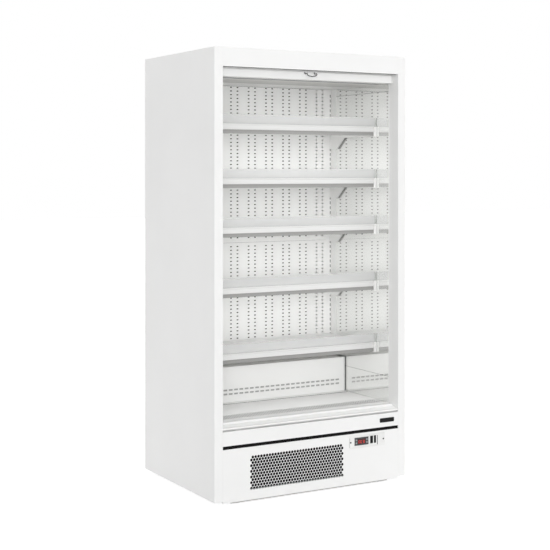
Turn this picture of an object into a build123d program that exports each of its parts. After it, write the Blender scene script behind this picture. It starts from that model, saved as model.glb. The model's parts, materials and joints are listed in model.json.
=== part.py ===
from build123d import *
import math
import os

# Open multideck display fridge with a pull-down night blind. Millimetres, +Z up.
# The origin is the middle of the overall box at floor level; the open front faces -Y.
# "Depth" values run back from the front plane, "height" values run up from the lower
# edge of the outer panels.

# ---------------------------------------------------------------- driving dimensions
# Cabinet shell
overall_width = 1000.0
body_depth = 726.0
body_height = 1954.0
floor_clearance = 19.0
panel_thickness = 40.0
roof_thickness = 32.0
skin = 1.2
sheet = 1.5
seam = 0.4
corner_radius = 2.0
control_proud = 2.5

# Display space
deck_height = 332.0
duct_depth = 110.0
mirror_front_depth = 77.0
mirror_thickness = 3.0
mirror_seam = 1.2
mirror_low_rise = 122.0
mirror_high_drop = 36.0

# Fascia and night blind
fascia_height = 82.0
fascia_return = 18.0
roof_front_depth = 22.0
rail_front_depth = 40.0
rail_thickness = 12.0
rail_height = 38.0
rail_side_gap = 5.0
rail_end_cap = 7.0
rail_gap = 2.0
rail_wall = 1.5
blind_side_gap = 15.0
cloth_thickness = 0.6
roller_radius = 21.0
roller_end_gap = 7.0
roller_clearance = 4.0
roller_pin_radius = 4.0
pin_clearance = 0.06
cassette_gap = 4.2
cassette_end_thickness = 3.0
pull_width = 54.0
pull_leg = 15.0
pull_drop = 24.0
pull_rod = 4.0
pull_stand_off = 25.0
pull_arm_drop = 7.0

# Ceiling
ceiling_front_edge = 56.0
ceiling_rear_depth = 188.0
lamp_front = 60.0
lamp_width = 26.0
lamp_height = 16.0
diffuser_inset = 3.5
honeycomb_front = 98.0
honeycomb_width = 58.0
honeycomb_height = 20.0
honeycomb_rows = 4
honeycomb_web = 3.0
opening_lip = 2.0

# Back wall
upright_width = 31.0
upright_slot_width = 5.0
upright_slot_height = 15.0
upright_slot_from_wall = 7.0
slot_pitch = 24.5
first_slot_drop = 25.0
last_slot_margin = 10.0
back_panel_lower_height = 569.5
back_panel_gap = 6.0
back_panel_flange = 12.0

# Shelves, hung by whole slots of the uprights: the slots between one shelf and the next
bay_slots = (7, 10, 9, 11, 12)
shelf_below_slot = 2.5
shelf_length = 402.0
shelf_side_gap = 15.0
shelf_wall_gap = 2.0
shelf_lip = 24.0
shelf_rear_lip = 15.0
bracket_width = 9.0
bracket_wall = 2.0
bracket_nose = 47.0
bracket_below_hooks = 27.5
bracket_bend_reach = 133.0
bracket_root_reach = 69.0
bracket_top_drop = 1.0
ledge_reach = 8.0
shelf_pin_reach = 304.0
shelf_pin_drop = 35.0
shelf_pin_radius = 5.0
shelf_pin_length = 14.0
tongue_thickness = 3.0
tongue_length = 36.0
hook_height = 10.0
hook_drop = 6.0
hook_reach = 3.2
hook_slots_apart = 3
rail_face_height = 26.0
rail_body = 5.0
rail_flange = 12.0
rail_flange_thickness = 2.0
rail_face_recess = 1.6
rail_lip = 5.0
riser_height = 42.0
riser_thickness = 4.0
riser_set_back = 6.0
riser_side_gap = 4.0

# Evaporator space
duct_mouth = 56.0
cover_height = 167.0
cover_side_gap = 12.0
cover_foot = 39.0
cover_return = 73.0
coil_side_gap = 60.0
coil_depth = 82.0
coil_rise = 22.0
coil_height = 190.0
evaporator_fins = 9
evaporator_fan_spacing = 320.0
evaporator_fan_rise = 63.0
evaporator_fan_size = 120.0
evaporator_fan_depth = 38.0
evaporator_fan_radius = 52.0
evaporator_hub_radius = 20.0
evaporator_motor_length = 12.0
evaporator_shaft_radius = 2.5

# Deck, sill and insulated floor
grille_front = 96.0
grille_rear = 186.0
grille_side_gap = 15.0
deck_joint = 2.0
deck_side_gap = 2.0
ledge_front = 1.0
ledge_nose_drop = 23.0
ledge_slope_drop = 9.0
ledge_slope_depth = 20.0
ledge_flat_depth = 40.0
ledge_rear = 95.0
sill_gap = 9.0
sill_height = 62.0
sill_box_depth = 20.0
floor_step_gap = 2.0
floor_step_depth = 48.0
floor_upstand_rear = 78.0

# Service panel and its perforated field
service_drop = 6.0
service_return = 15.0
seal_depth = 2.0
seal_width = 12.0
seal_height = 12.0
hole_pitch = 14.25
hole_row_pitch = 12.3
hole_radius = 6.25
hole_columns = 33
hole_rows = 12
hole_field_left = -313.0
hole_field_drop = 48.0

# Controls
plate_left = 184.0
plate_right = 384.0
plate_height = 59.0
plate_drop = 12.0
plate_flange = 6.0
plate_corner = 4.0
insert_left = 190.0
insert_right = 341.5
insert_drop = 8.0
insert_recess = 0.5
insert_gap = 3.0
controller_left = 217.0
controller_width = 76.0
controller_rise = 12.7
controller_height = 35.6
controller_bezel = 1.2
controller_body_inset = 2.5
controller_body_depth = 60.0
display_width = 44.0
display_height = 24.0
display_proud = 0.3
button_inset = 9.0
button_width = 8.0
button_height = 7.0
button_depth = 4.0
button_pitch = 13.0
button_clearance = 0.2
button_proud = 1.0
button_travel = 0.8
switch_lefts = (303.0, 324.0)
switch_widths = (15.0, 11.0)
switch_rise = 15.0
switch_height = 34.0
switch_rim = 1.0
switch_frame_depth = 14.0
switch_frame_proud = 0.6
rocker_swing = 10.0
rocker_clearance = 0.5
rocker_pivot_depth = 4.0
rocker_body_depth = 6.0
rocker_end_raise = 1.2
rocker_pin_radius = 1.0

# Base and refrigeration unit
tray_edge = 25.0
tray_front_edge = 44.0
plinth_side_gap = 50.0
plinth_width = 40.0
plinth_front_depth = 20.0
plinth_rear_inset = 12.0
plinth_height = 16.0
foot_radius = 16.0
foot_inset = 40.0
stud_radius = 4.0
condenser_centre = -85.0
condenser_width = 450.0
condenser_front = 40.0
condenser_depth = 50.0
condenser_height = 188.0
condenser_fins = 10
shroud_depth = 36.0
condenser_fan_radius = 80.0
fan_tip_clearance = 3.0
fan_blades = 5
motor_radius = 30.0
motor_length = 50.0
motor_shaft_radius = 4.0
compressor_centre = (270.0, 430.0)
compressor_radius = 75.0
compressor_height = 150.0
compressor_foot = 8.0
drain_pan_width = 390.0
drain_pan_length = 210.0
drain_pan_height = 38.0
drain_pan_left = -330.0
drain_pan_rear_gap = 72.0
service_rear_inset = 14.0
louvre_count = 3
louvre_width = 360.0
louvre_height = 12.0
louvre_pitch = 40.0
louvre_gap = 40.0
gland_centre = (-385.0, 70.0)
gland_radius = 11.0
gland_length = 10.0

# Sides of the many-sided rounds that stand for hidden cylinders
round_sides = 10
pin_sides = 6

# ---------------------------------------------------------------- derived places
front_plane = -(body_depth + control_proud) / 2 + control_proud
half_width = overall_width / 2
inner_half = half_width - panel_thickness
roof_bottom = body_height - roof_thickness

# From the back wall forwards
rear_wall_depth = body_depth - panel_thickness
back_panel_depth = rear_wall_depth - duct_depth
ceiling_joint = back_panel_depth - ceiling_rear_depth
shelf_front_depth = back_panel_depth - shelf_length
bracket_bend_depth = back_panel_depth - bracket_bend_reach
bracket_root_depth = back_panel_depth - bracket_root_reach
fan_plate_depth = back_panel_depth - duct_mouth
cover_depth = fan_plate_depth - cover_return
cover_foot_depth = cover_depth - cover_foot
deck_front = grille_rear + deck_joint
deck_rear = cover_depth - deck_joint / 2
service_rear_depth = body_depth - service_rear_inset
plinth_rear_depth = service_rear_depth - plinth_rear_inset - plinth_width
drain_pan_front = service_rear_depth - drain_pan_rear_gap - drain_pan_length

# From the top down to the ceiling, which is level with the lower edge of the blind's rail
fascia_bottom = body_height - fascia_height
rail_top = fascia_bottom - rail_gap
rail_bottom = rail_top - rail_height
ceiling_height = rail_bottom
mirror_high_joint = ceiling_height - mirror_high_drop
first_slot_top = ceiling_height - first_slot_drop

# Night blind
rail_length = 2 * (inner_half - rail_side_gap)
blind_width = rail_length - 2 * blind_side_gap
roller_length = rail_length - 2 * roller_end_gap
cloth_depth = rail_front_depth + rail_thickness / 2
roller_depth = cloth_depth + roller_radius + cloth_thickness / 2
roller_height = rail_top + roller_clearance + roller_radius
cassette_depth = roller_depth + roller_radius + cassette_gap + sheet

# From the deck down to the foot of the service panel
ledge_nose_height = deck_height - ledge_nose_drop
ledge_slope_top = deck_height - ledge_slope_drop
sill_top = ledge_nose_height - sill_gap
sill_bottom = sill_top - sill_height
floor_top = sill_bottom + panel_thickness
floor_step_height = ledge_nose_height - floor_step_gap
service_top = sill_bottom - seal_height
hole_field_top = service_top - hole_field_drop
plate_top = service_top - plate_drop
plate_bottom = plate_top - plate_height
insert_top = plate_top - insert_drop
controller_bottom = plate_bottom + controller_rise
switch_bottom = plate_bottom + switch_rise

# From the deck up
mirror_low_joint = deck_height + mirror_low_rise
cover_top = deck_height + cover_height
evaporator_fan_height = deck_height + evaporator_fan_rise
coil_bottom = floor_top + coil_rise
back_panel_bottom = cover_top + back_panel_gap
back_panel_joint = back_panel_bottom + back_panel_lower_height

# Slots, and the widths that fit between the side linings
slot_field = first_slot_top - upright_slot_height - last_slot_margin - back_panel_bottom
slot_count = int(slot_field / slot_pitch) + 1
upright_inner = inner_half - seam - upright_width
slot_centre = inner_half - upright_slot_from_wall
bracket_outer = slot_centre + bracket_width / 2
bracket_root = hook_slots_apart * slot_pitch + bracket_below_hooks
shelf_half_width = inner_half - shelf_side_gap
riser_half_width = inner_half - riser_side_gap
cover_half_width = inner_half - cover_side_gap
coil_half_width = inner_half - coil_side_gap
grille_half_width = inner_half - grille_side_gap
plinth_half_width = inner_half - plinth_side_gap
service_width_half = inner_half - seam


def back(depth):
    """Y of a depth behind the front plane."""
    return front_plane + depth


def up(height):
    """Z of a height above the lower edge of the outer panels."""
    return floor_clearance + height


def shelf_tops():
    """Heights of the five shelf lips from the top down, spread over the slots that there are."""
    lowest = slot_count - 1 - hook_slots_apart
    tops = []
    for shelf in range(len(bay_slots)):
        slot = round(sum(bay_slots[: shelf + 1]) * lowest / sum(bay_slots))
        tops.append(first_slot_top - slot * slot_pitch - shelf_below_slot)
    return tops


# ---------------------------------------------------------------- shape helpers
def block(x, depth, height):
    """Box between two x values, two depths and two heights."""
    low = Vector(x[0], back(depth[0]), up(height[0]))
    high = Vector(x[1], back(depth[1]), up(height[1]))
    size = high - low
    return Pos(low) * Box(size.X, size.Y, size.Z, align=(Align.MIN,) * 3)


def hollow_block(x, depth, height, wall):
    """Closed skin around an insulated box."""
    inside = [(low + wall, high - wall) for low, high in (x, depth, height)]
    return block(x, depth, height) - block(*inside)


def side_outline(points):
    """Face in the plane x = 0 from (depth, height) points."""
    return Plane.YZ * Polygon(*[(back(d), up(h)) for d, h in points], align=None)


def along_x(face, x0, x1):
    """A face drawn in the plane x = 0, extruded from x0 to x1."""
    return extrude(Pos(x0, 0, 0) * face, amount=x1 - x0, dir=(1, 0, 0))


def along_y(points, depth0, depth1):
    """(x, height) outline extruded between two depths."""
    face = Plane.XZ * Polygon(*[(x, up(h)) for x, h in points], align=None)
    return extrude(Pos(0, back(depth0), 0) * face, amount=depth1 - depth0, dir=(0, 1, 0))


def along_z(points, height0, height1):
    """(x, depth) outline extruded between two heights."""
    face = Polygon(*[(x, back(d)) for x, d in points], align=None)
    return extrude(Pos(0, 0, up(height0)) * face, amount=height1 - height0)


def folded(path, thickness):
    """Outline of a sheet folded along path, its thickness to the right, mitred at the folds."""
    points = [Vector(*p) for p in path]
    normals = []
    for start, end in zip(points, points[1:]):
        run = (end - start).normalized()
        normals.append(Vector(run.Y, -run.X))
    far = [points[0] + normals[0] * thickness]
    for point, before, after in zip(points[1:-1], normals, normals[1:]):
        far.append(point + (before + after) * (thickness / (1 + before.dot(after))))
    far.append(points[-1] + normals[-1] * thickness)
    outline = points + far[::-1]
    return [(p.X, p.Y) for p in outline]


def prism_y(x, height, depth0, depth1, radius, sides):
    """Many-sided bar along Y, its flats outside the given radius."""
    face = Plane.XZ * RegularPolygon(radius, sides, major_radius=False)
    return extrude(Pos(x, back(depth0), up(height)) * face, amount=depth1 - depth0, dir=(0, 1, 0))


def prism_x(depth, height, x0, x1, radius, sides):
    """Many-sided bar along X, its flats outside the given radius."""
    face = Plane.YZ * RegularPolygon(radius, sides, major_radius=False)
    return extrude(Pos(x0, back(depth), up(height)) * face, amount=x1 - x0, dir=(1, 0, 0))


def mirrored_pair(solid):
    """The solid and its mirror image across x = 0."""
    return [solid, mirror(solid, about=Plane.YZ)]


def save(name, solids):
    """Write one node, which may hold several separate solids."""
    pieces = solids if isinstance(solids, list) else [solids]
    shape = pieces[0] if len(pieces) == 1 else Compound(children=pieces)
    export_step(shape, f"parts/{name}.step")


# ---------------------------------------------------------------- cabinet shell
def side_panel():
    """Right-hand insulated side, its inner face recessed for the mirror lining."""
    panel = block((inner_half, half_width), (0, body_depth), (0, body_height))
    front_corner = panel.edges().filter_by(Axis.Z).sort_by(Axis.X)[-2:].sort_by(Axis.Y)[0]
    panel = fillet(front_corner, corner_radius)
    core = block(
        (inner_half + mirror_thickness + skin, half_width - skin),
        (skin, body_depth - skin),
        (skin, body_height - skin),
    )
    recess = block(
        (inner_half, inner_half + mirror_thickness),
        (mirror_front_depth, back_panel_depth),
        (floor_top, ceiling_height),
    )
    return panel - core - recess


def side_mirror():
    """Right-hand mirror lining in three sheets with open joints."""
    joints = [floor_top, mirror_low_joint, mirror_high_joint, ceiling_height]
    sheets = []
    for low, high in zip(joints, joints[1:]):
        sheets.append(
            block(
                (inner_half, inner_half + mirror_thickness),
                (mirror_front_depth, back_panel_depth),
                (low + mirror_seam / 2, high - mirror_seam / 2),
            )
        )
    return sheets


def rear_wall():
    return hollow_block(
        (-inner_half, inner_half), (rear_wall_depth, body_depth), (sill_bottom, body_height), skin
    )


def roof_panel():
    return hollow_block(
        (-inner_half, inner_half), (roof_front_depth, rear_wall_depth), (roof_bottom, body_height), skin
    )


def insulated_floor():
    """Foam-filled tank under the deck, stepped up at the front to carry the ledge."""
    outline = side_outline(
        [
            (sill_box_depth, sill_bottom),
            (rear_wall_depth, sill_bottom),
            (rear_wall_depth, floor_top),
            (floor_upstand_rear, floor_top),
            (floor_upstand_rear, deck_height - sheet),
            (floor_step_depth, deck_height - sheet),
            (floor_step_depth, floor_step_height),
            (sill_box_depth, floor_step_height),
        ]
    )
    inside = offset(outline, amount=-skin, kind=Kind.INTERSECTION)
    return along_x(outline, -inner_half, inner_half) - along_x(
        inside, -inner_half + skin, inner_half - skin
    )


# ---------------------------------------------------------------- top and night blind
def top_fascia():
    path = [(fascia_return, fascia_bottom), (0, fascia_bottom), (0, body_height), (roof_front_depth, body_height)]
    return along_x(side_outline(folded(path, sheet)), -inner_half + seam, inner_half - seam)


def blind_cassette():
    """Folded cover behind the fascia with two bored end plates that hold the roller."""
    end = rail_length / 2
    path = [(roof_front_depth, roof_bottom), (cassette_depth, roof_bottom), (cassette_depth, rail_bottom + sheet * 4)]
    cover = along_x(side_outline(folded(path, sheet)), -end, end)
    plate = block(
        (end - cassette_end_thickness, end),
        (roof_front_depth, cassette_depth - sheet),
        (rail_top + rail_gap, roof_bottom - sheet),
    )
    bore = prism_x(roller_depth, roller_height, 0, half_width, roller_pin_radius + pin_clearance, pin_sides)
    for side_plate in mirrored_pair(plate - bore):
        cover += side_plate
    return cover


def blind_roller():
    """Sprung tube with the cloth wound on it, on two pins."""
    half = roller_length / 2
    flat = roller_radius * math.cos(math.pi / round_sides)
    tube = prism_x(roller_depth, roller_height, -half, half, flat, round_sides)
    pin = RegularPolygon(roller_pin_radius, pin_sides, major_radius=True)
    end = rail_length / 2
    face = Pos(-end, back(roller_depth), up(roller_height)) * (Plane.YZ * pin)
    return tube + extrude(face, amount=2 * end, dir=(1, 0, 0))


def blind_cloth():
    """The strip of cloth between the roller and the bottom rail."""
    half = cloth_thickness / 2
    return block(
        (-blind_width / 2, blind_width / 2), (cloth_depth - half, cloth_depth + half), (rail_top, roller_height)
    )


def blind_bottom_rail():
    """Hollow weighted rail with a rolled front face and a plain cap on each end."""
    rear = rail_front_depth + rail_thickness
    nose = rail_thickness / 4
    profile = [
        (rear, rail_bottom),
        (rail_front_depth + nose, rail_bottom),
        (rail_front_depth, rail_bottom + nose),
        (rail_front_depth, rail_top - nose),
        (rail_front_depth + nose, rail_top),
        (rear, rail_top),
    ]
    outline = side_outline(profile)
    end = rail_length / 2
    inside = offset(outline, amount=-rail_wall, kind=Kind.INTERSECTION)
    hollow = end - rail_end_cap
    return along_x(outline, -end, end) - along_x(inside, -hollow, hollow)


def pull_handle():
    """Bent pull: a pointed loop that stands off the bottom rail on two arms, with a post behind each."""
    half = pull_width / 2
    top = rail_top - rail_thickness / 4
    crown = top - pull_arm_drop
    knee = top - pull_leg
    path = [(-half, crown), (-half, knee), (0, top - pull_drop), (half, knee), (half, crown)]
    near = rail_front_depth - pull_stand_off
    loop = along_y(folded(path, -pull_rod), near, near + pull_rod)
    arm = block((half - pull_rod, half), (near, rail_front_depth), (crown - pull_rod, crown))
    arm += block((half - pull_rod, half), (rail_front_depth - pull_rod, rail_front_depth), (crown - pull_rod, top))
    return loop + arm + mirror(arm, about=Plane.YZ)


# ---------------------------------------------------------------- ceiling
def ceiling_profile(depth0, depth1):
    """Ceiling tray with side flanges that reach up to the roof."""
    half = inner_half - deck_side_gap
    path = [(-half, roof_bottom), (-half, ceiling_height), (half, ceiling_height), (half, roof_bottom)]
    return along_y(folded(path, -sheet), depth0, depth1)


def ceiling_opening(front, width):
    """Cut-out for a lamp or outlet that rests on the tray by a narrow lip."""
    half = blind_width / 2 + honeycomb_web - opening_lip
    return block(
        (-half, half), (front + opening_lip, front + width - opening_lip), (ceiling_height - 1, ceiling_height + sheet + 1)
    )


def ceiling_front():
    tray = ceiling_profile(ceiling_front_edge, ceiling_joint)
    return tray - ceiling_opening(lamp_front, lamp_width) - ceiling_opening(honeycomb_front, honeycomb_width)


def lamp_body():
    """Aluminium channel of the lamp, open below for its diffuser."""
    half = blind_width / 2 + honeycomb_web
    base = ceiling_height + sheet
    channel = block((-half, half), (lamp_front, lamp_front + lamp_width), (base, base + lamp_height))
    pocket = block(
        (-half + diffuser_inset, half - diffuser_inset),
        (lamp_front + diffuser_inset, lamp_front + lamp_width - diffuser_inset),
        (base, base + diffuser_inset),
    )
    return channel - pocket


def lamp_diffuser():
    half = blind_width / 2 + honeycomb_web - diffuser_inset
    return block(
        (-half, half),
        (lamp_front + diffuser_inset, lamp_front + lamp_width - diffuser_inset),
        (ceiling_height + seam, ceiling_height + sheet + diffuser_inset),
    )


def air_honeycomb():
    """Outlet that straightens the air curtain, with long cells between thin webs."""
    half = blind_width / 2 + honeycomb_web
    base = ceiling_height + sheet
    outlet = block((-half, half), (honeycomb_front, honeycomb_front + honeycomb_width), (base, base + honeycomb_height))
    cell = (honeycomb_width - honeycomb_web * (honeycomb_rows + 1)) / honeycomb_rows
    for row in range(honeycomb_rows):
        start = honeycomb_front + honeycomb_web + row * (cell + honeycomb_web)
        outlet -= block(
            (-blind_width / 2, blind_width / 2), (start, start + cell), (base - 1, base + honeycomb_height + 1)
        )
    return outlet


# ---------------------------------------------------------------- back wall
def upright():
    """Right-hand slotted channel that carries the shelf brackets."""
    outer = inner_half - seam
    path = [
        (upright_inner, rear_wall_depth),
        (upright_inner, back_panel_depth),
        (outer, back_panel_depth),
        (outer, rear_wall_depth),
    ]
    channel = along_z(folded(path, -sheet), floor_top, ceiling_height - 1)
    half = upright_slot_width / 2
    slots = []
    for number in range(slot_count):
        top = first_slot_top - number * slot_pitch
        slots.append(
            block(
                (slot_centre - half, slot_centre + half),
                (back_panel_depth - 1, back_panel_depth + sheet + 1),
                (top - upright_slot_height, top),
            )
        )
    return channel - slots


def back_panel(bottom, top):
    """Folded sheet between the uprights; its flanges bear on them."""
    path = [
        (-upright_inner, back_panel_depth + back_panel_flange),
        (-upright_inner, back_panel_depth),
        (upright_inner, back_panel_depth),
        (upright_inner, back_panel_depth + back_panel_flange),
    ]
    return along_z(folded(path, -sheet), bottom, top)


# ---------------------------------------------------------------- shelves
def shelf_tray(top):
    """Sheet tray turned down at the front and the back."""
    front = shelf_front_depth + rail_body
    rear = back_panel_depth - shelf_wall_gap
    surface = top - rail_flange_thickness
    path = [
        (front + shelf_lip / 2, surface - shelf_lip),
        (front, surface - shelf_lip),
        (front, surface),
        (rear, surface),
        (rear, surface - shelf_rear_lip),
    ]
    return along_x(side_outline(folded(path, sheet)), -shelf_half_width, shelf_half_width)


def bracket_hooks(top):
    """Tongue in the root of the bracket with two hooks that hang in upright slots."""
    rear = back_panel_depth
    slot_bottom = top + shelf_below_slot - upright_slot_height
    second = slot_bottom - hook_slots_apart * slot_pitch
    behind = rear + sheet
    outline = [
        (rear - tongue_length, top - bracket_root),
        (rear, top - bracket_root),
        (rear, second),
        (behind, second),
        (behind, second - hook_drop),
        (behind + hook_reach, second - hook_drop),
        (behind + hook_reach, second + hook_height),
        (rear, second + hook_height),
        (rear, slot_bottom),
        (behind, slot_bottom),
        (behind, slot_bottom - hook_drop),
        (behind + hook_reach, slot_bottom - hook_drop),
        (behind + hook_reach, slot_bottom + hook_height),
        (rear - tongue_length, slot_bottom + hook_height),
    ]
    middle = slot_centre - tongue_thickness / 2
    return along_x(side_outline(outline), middle, middle + tongue_thickness)


def shelf_bracket(top):
    """Right-hand cantilever: folded channel, ledge and pin on its inner side, hooked tongue."""
    crown = top - bracket_top_drop
    outline = side_outline(
        [
            (shelf_front_depth, top - bracket_nose),
            (bracket_bend_depth, top - bracket_nose),
            (bracket_root_depth, top - bracket_root),
            (back_panel_depth, top - bracket_root),
            (back_panel_depth, crown),
            (shelf_front_depth, crown),
        ]
    )
    inner = bracket_outer - bracket_width
    channel = along_x(outline, inner, bracket_outer)
    channel -= block(
        (inner + bracket_wall, bracket_outer - bracket_wall),
        (shelf_front_depth - 1, back_panel_depth + 1),
        (top - bracket_root - 1, crown - bracket_wall),
    )
    under_tray = top - rail_flange_thickness - sheet
    ledge = block(
        (inner - ledge_reach, inner + bracket_wall),
        (shelf_front_depth + rail_body + shelf_lip, back_panel_depth - shelf_lip),
        (under_tray - bracket_wall, under_tray),
    )
    pin = prism_x(
        back_panel_depth - shelf_pin_reach,
        top - shelf_pin_drop,
        inner - shelf_pin_length,
        inner + bracket_wall,
        shelf_pin_radius,
        pin_sides,
    )
    return channel + ledge + pin + bracket_hooks(top)


def ticket_rail(top):
    """Extruded label holder: flange over the tray edge, two lips, recessed face."""
    front = shelf_front_depth
    face = front + rail_face_recess
    low = top - rail_face_height
    outline = side_outline(
        [
            (front + rail_flange, top),
            (front, top),
            (front, top - rail_lip),
            (face, top - rail_lip - rail_face_recess),
            (face, low + 2 * rail_face_recess),
            (front, low + rail_face_recess),
            (front, low),
            (front + rail_body, low),
            (front + rail_body, top - rail_flange_thickness),
            (front + rail_flange, top - rail_flange_thickness),
        ]
    )
    return along_x(outline, -shelf_half_width, shelf_half_width)


def glass_riser(top):
    """Clear upstand along the shelf front, standing on the ticket rail and the brackets."""
    start = shelf_front_depth + riser_set_back
    return block(
        (-riser_half_width, riser_half_width), (start, start + riser_thickness), (top, top + riser_height)
    )


# ---------------------------------------------------------------- evaporator space
def fan_cover():
    """Cover over the evaporator fans, folded to a foot on the deck and a top flange."""
    base = deck_height + sheet
    path = [
        (cover_foot_depth, base),
        (cover_depth, base),
        (cover_depth, cover_top),
        (fan_plate_depth - sheet, cover_top),
    ]
    return along_x(side_outline(folded(path, sheet)), -cover_half_width, cover_half_width)


def finned_block(left, width, depth0, depth1, bottom, top, fins):
    """Heat exchanger as one comb outline: a core with a row of plate fins on its front."""
    pitch = width / (fins - 0.5)
    core = depth0 + (depth1 - depth0) * 0.4
    points = [(left, depth1)]
    for fin in range(fins):
        start = left + fin * pitch
        points += [(start, depth0), (start + pitch / 2, depth0)]
        if fin < fins - 1:
            points += [(start + pitch / 2, core), (start + pitch, core)]
    points.append((left + width, depth1))
    return along_z(points, bottom, top)


def fan_rotor(x, height, depth, length, radius, hub_radius, shaft_radius):
    """Hub and pitched blades around a bore along Y."""
    hub = prism_y(x, height, depth, depth + length, hub_radius, round_sides)
    reach = radius - hub_radius + 1
    blade = Box(reach, sheet, hub_radius, align=(Align.MIN, Align.CENTER, Align.CENTER))
    blade = Pos(hub_radius - 1, 0, 0) * Rot(-35, 0, 0) * blade
    for number in range(fan_blades):
        hub += Pos(x, back(depth + length / 2), up(height)) * Rot(0, number * 360 / fan_blades, 0) * blade
    return hub - prism_y(x, height, depth - 1, depth + length + 1, shaft_radius + pin_clearance, pin_sides)


def fan_motor(x, height, depth0, depth1, radius, shaft_from, shaft_radius, bar_half_length):
    """Motor on an upright bar, with a shaft that points forward through the rotor."""
    motor = prism_y(x, height, depth0, depth1, radius, round_sides)
    shaft = Plane.XZ * RegularPolygon(shaft_radius, pin_sides, major_radius=True)
    motor += extrude(Pos(x, back(shaft_from), up(height)) * shaft, amount=depth0 - shaft_from, dir=(0, 1, 0))
    half = radius / 4
    rise = bar_half_length
    return motor + block((x - half, x + half), (depth0, depth1 - half), (height - rise, height + rise))


def evaporator_fan_x():
    return (-evaporator_fan_spacing / 2, evaporator_fan_spacing / 2)


def evaporator_fan_plate():
    """Upright plate that divides the fan space from the coil, with two round openings."""
    plate = block(
        (-cover_half_width, cover_half_width), (fan_plate_depth - sheet, fan_plate_depth), (floor_top, cover_top)
    )
    for x in evaporator_fan_x():
        plate -= prism_y(
            x,
            evaporator_fan_height,
            fan_plate_depth - sheet - 1,
            fan_plate_depth + 1,
            evaporator_fan_radius,
            round_sides,
        )
    return plate


def evaporator_fan_frame(x):
    """Square housing around the rotor with its motor on a bar at the back."""
    rear = fan_plate_depth - sheet
    front = rear - evaporator_fan_depth
    half = evaporator_fan_size / 2
    height = evaporator_fan_height
    throat = evaporator_fan_radius + fan_tip_clearance
    housing = block((x - half, x + half), (front, rear), (height - half, height + half))
    housing -= prism_y(x, height, front - 1, rear + 1, throat, round_sides)
    motor = fan_motor(
        x,
        height,
        rear - evaporator_motor_length,
        rear,
        evaporator_hub_radius,
        front + fan_tip_clearance,
        evaporator_shaft_radius,
        half - fan_tip_clearance / 2,
    )
    return housing + motor


def evaporator_fan(x):
    front = fan_plate_depth - sheet - evaporator_fan_depth + fan_tip_clearance * 1.5
    rear = fan_plate_depth - sheet - evaporator_motor_length - fan_tip_clearance
    return fan_rotor(
        x,
        evaporator_fan_height,
        front,
        rear - front,
        evaporator_fan_radius,
        evaporator_hub_radius,
        evaporator_shaft_radius,
    )


# ---------------------------------------------------------------- deck and sill
def standing_tray(half, depth0, depth1):
    """Sheet tray whose side flanges stand on the insulated floor."""
    path = [(-half, floor_top), (-half, deck_height), (half, deck_height), (half, floor_top)]
    return along_y(folded(path, sheet), depth0, depth1)


def deck_panel():
    return standing_tray(inner_half - deck_side_gap, deck_front, deck_rear)


def return_grille():
    return standing_tray(grille_half_width, grille_front, grille_rear)


def front_ledge():
    """Sloping nose above the sill, folded from one sheet."""
    path = [
        (ledge_front, ledge_nose_height),
        (ledge_front, ledge_nose_height + sheet * 2),
        (ledge_slope_depth, ledge_slope_top),
        (ledge_flat_depth, deck_height),
        (ledge_rear, deck_height),
    ]
    return along_x(side_outline(folded(path, sheet)), -inner_half + seam, inner_half - seam)


def sill_fascia():
    path = [(sill_box_depth, sill_bottom), (0, sill_bottom), (0, sill_top), (sill_box_depth, sill_top)]
    return along_x(side_outline(folded(path, sheet)), -inner_half + seam, inner_half - seam)


def shadow_seal():
    """Black strip recessed between the sill and the service panel."""
    half = inner_half - deck_side_gap
    return block((-half, half), (seal_depth, seal_depth + seal_width), (service_top, sill_bottom))


# ---------------------------------------------------------------- service panel and controls
def hole_centres():
    """Centres of the staggered perforation, row by row."""
    for row in range(hole_rows):
        wide = row % 2
        left = hole_field_left - wide * hole_pitch / 2
        height = hole_field_top - row * hole_row_pitch
        for column in range(hole_columns + wide):
            yield left + column * hole_pitch, height


def service_panel():
    """Folded lower front with a perforated field and the opening for the control plate."""
    path = [
        (service_return, -service_drop),
        (0, -service_drop),
        (0, service_top),
        (service_return, service_top),
    ]
    panel = along_x(side_outline(folded(path, sheet)), -service_width_half, service_width_half)
    cell = Plane.XZ * RegularPolygon(hole_radius, 4, major_radius=True)
    openings = Sketch() + [Pos(x, 0, up(height)) * cell for x, height in hole_centres()]
    cutter = extrude(Pos(0, back(-1), 0) * openings, amount=sheet + 2, dir=(0, 1, 0))
    panel -= block((plate_left, plate_right), (-1, sheet + 1), (plate_bottom, plate_top))
    return panel - cutter


def control_plate():
    """Plate flush in the service panel, carried by a flange behind it, and its inner insert."""
    face = block((plate_left, plate_right), (0, sheet), (plate_bottom, plate_top))
    flange = block(
        (plate_left - plate_flange, plate_right + plate_flange),
        (sheet, 2 * sheet),
        (plate_bottom - plate_flange, plate_top),
    )
    plate = face + flange
    plate -= block((insert_left, insert_right + insert_gap), (-1, insert_recess), (plate_bottom - 1, insert_top))
    plate -= block((insert_right, insert_right + insert_gap), (-1, 2 * sheet - insert_recess), (plate_bottom, insert_top))
    plate -= controller_cut()
    for left, width in zip(switch_lefts, switch_widths):
        plate -= switch_body(left, width)
    return plate


def controller_cut():
    inset = controller_body_inset
    return block(
        (controller_left + inset, controller_left + controller_width - inset),
        (-1, 2 * sheet + 1),
        (controller_bottom + inset, controller_bottom + controller_height - inset),
    )


def button_block(side, row, clearance, front, rear):
    """Box of one key: side -1 or 1 of the display, row -1 below or 1 above."""
    x = controller_left + controller_width / 2 + side * (controller_width / 2 - button_inset)
    height = controller_bottom + (controller_height + row * button_pitch) / 2
    half_x = button_width / 2 + clearance
    half_z = button_height / 2 + clearance
    return block((x - half_x, x + half_x), (front, rear), (height - half_z, height + half_z))


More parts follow.
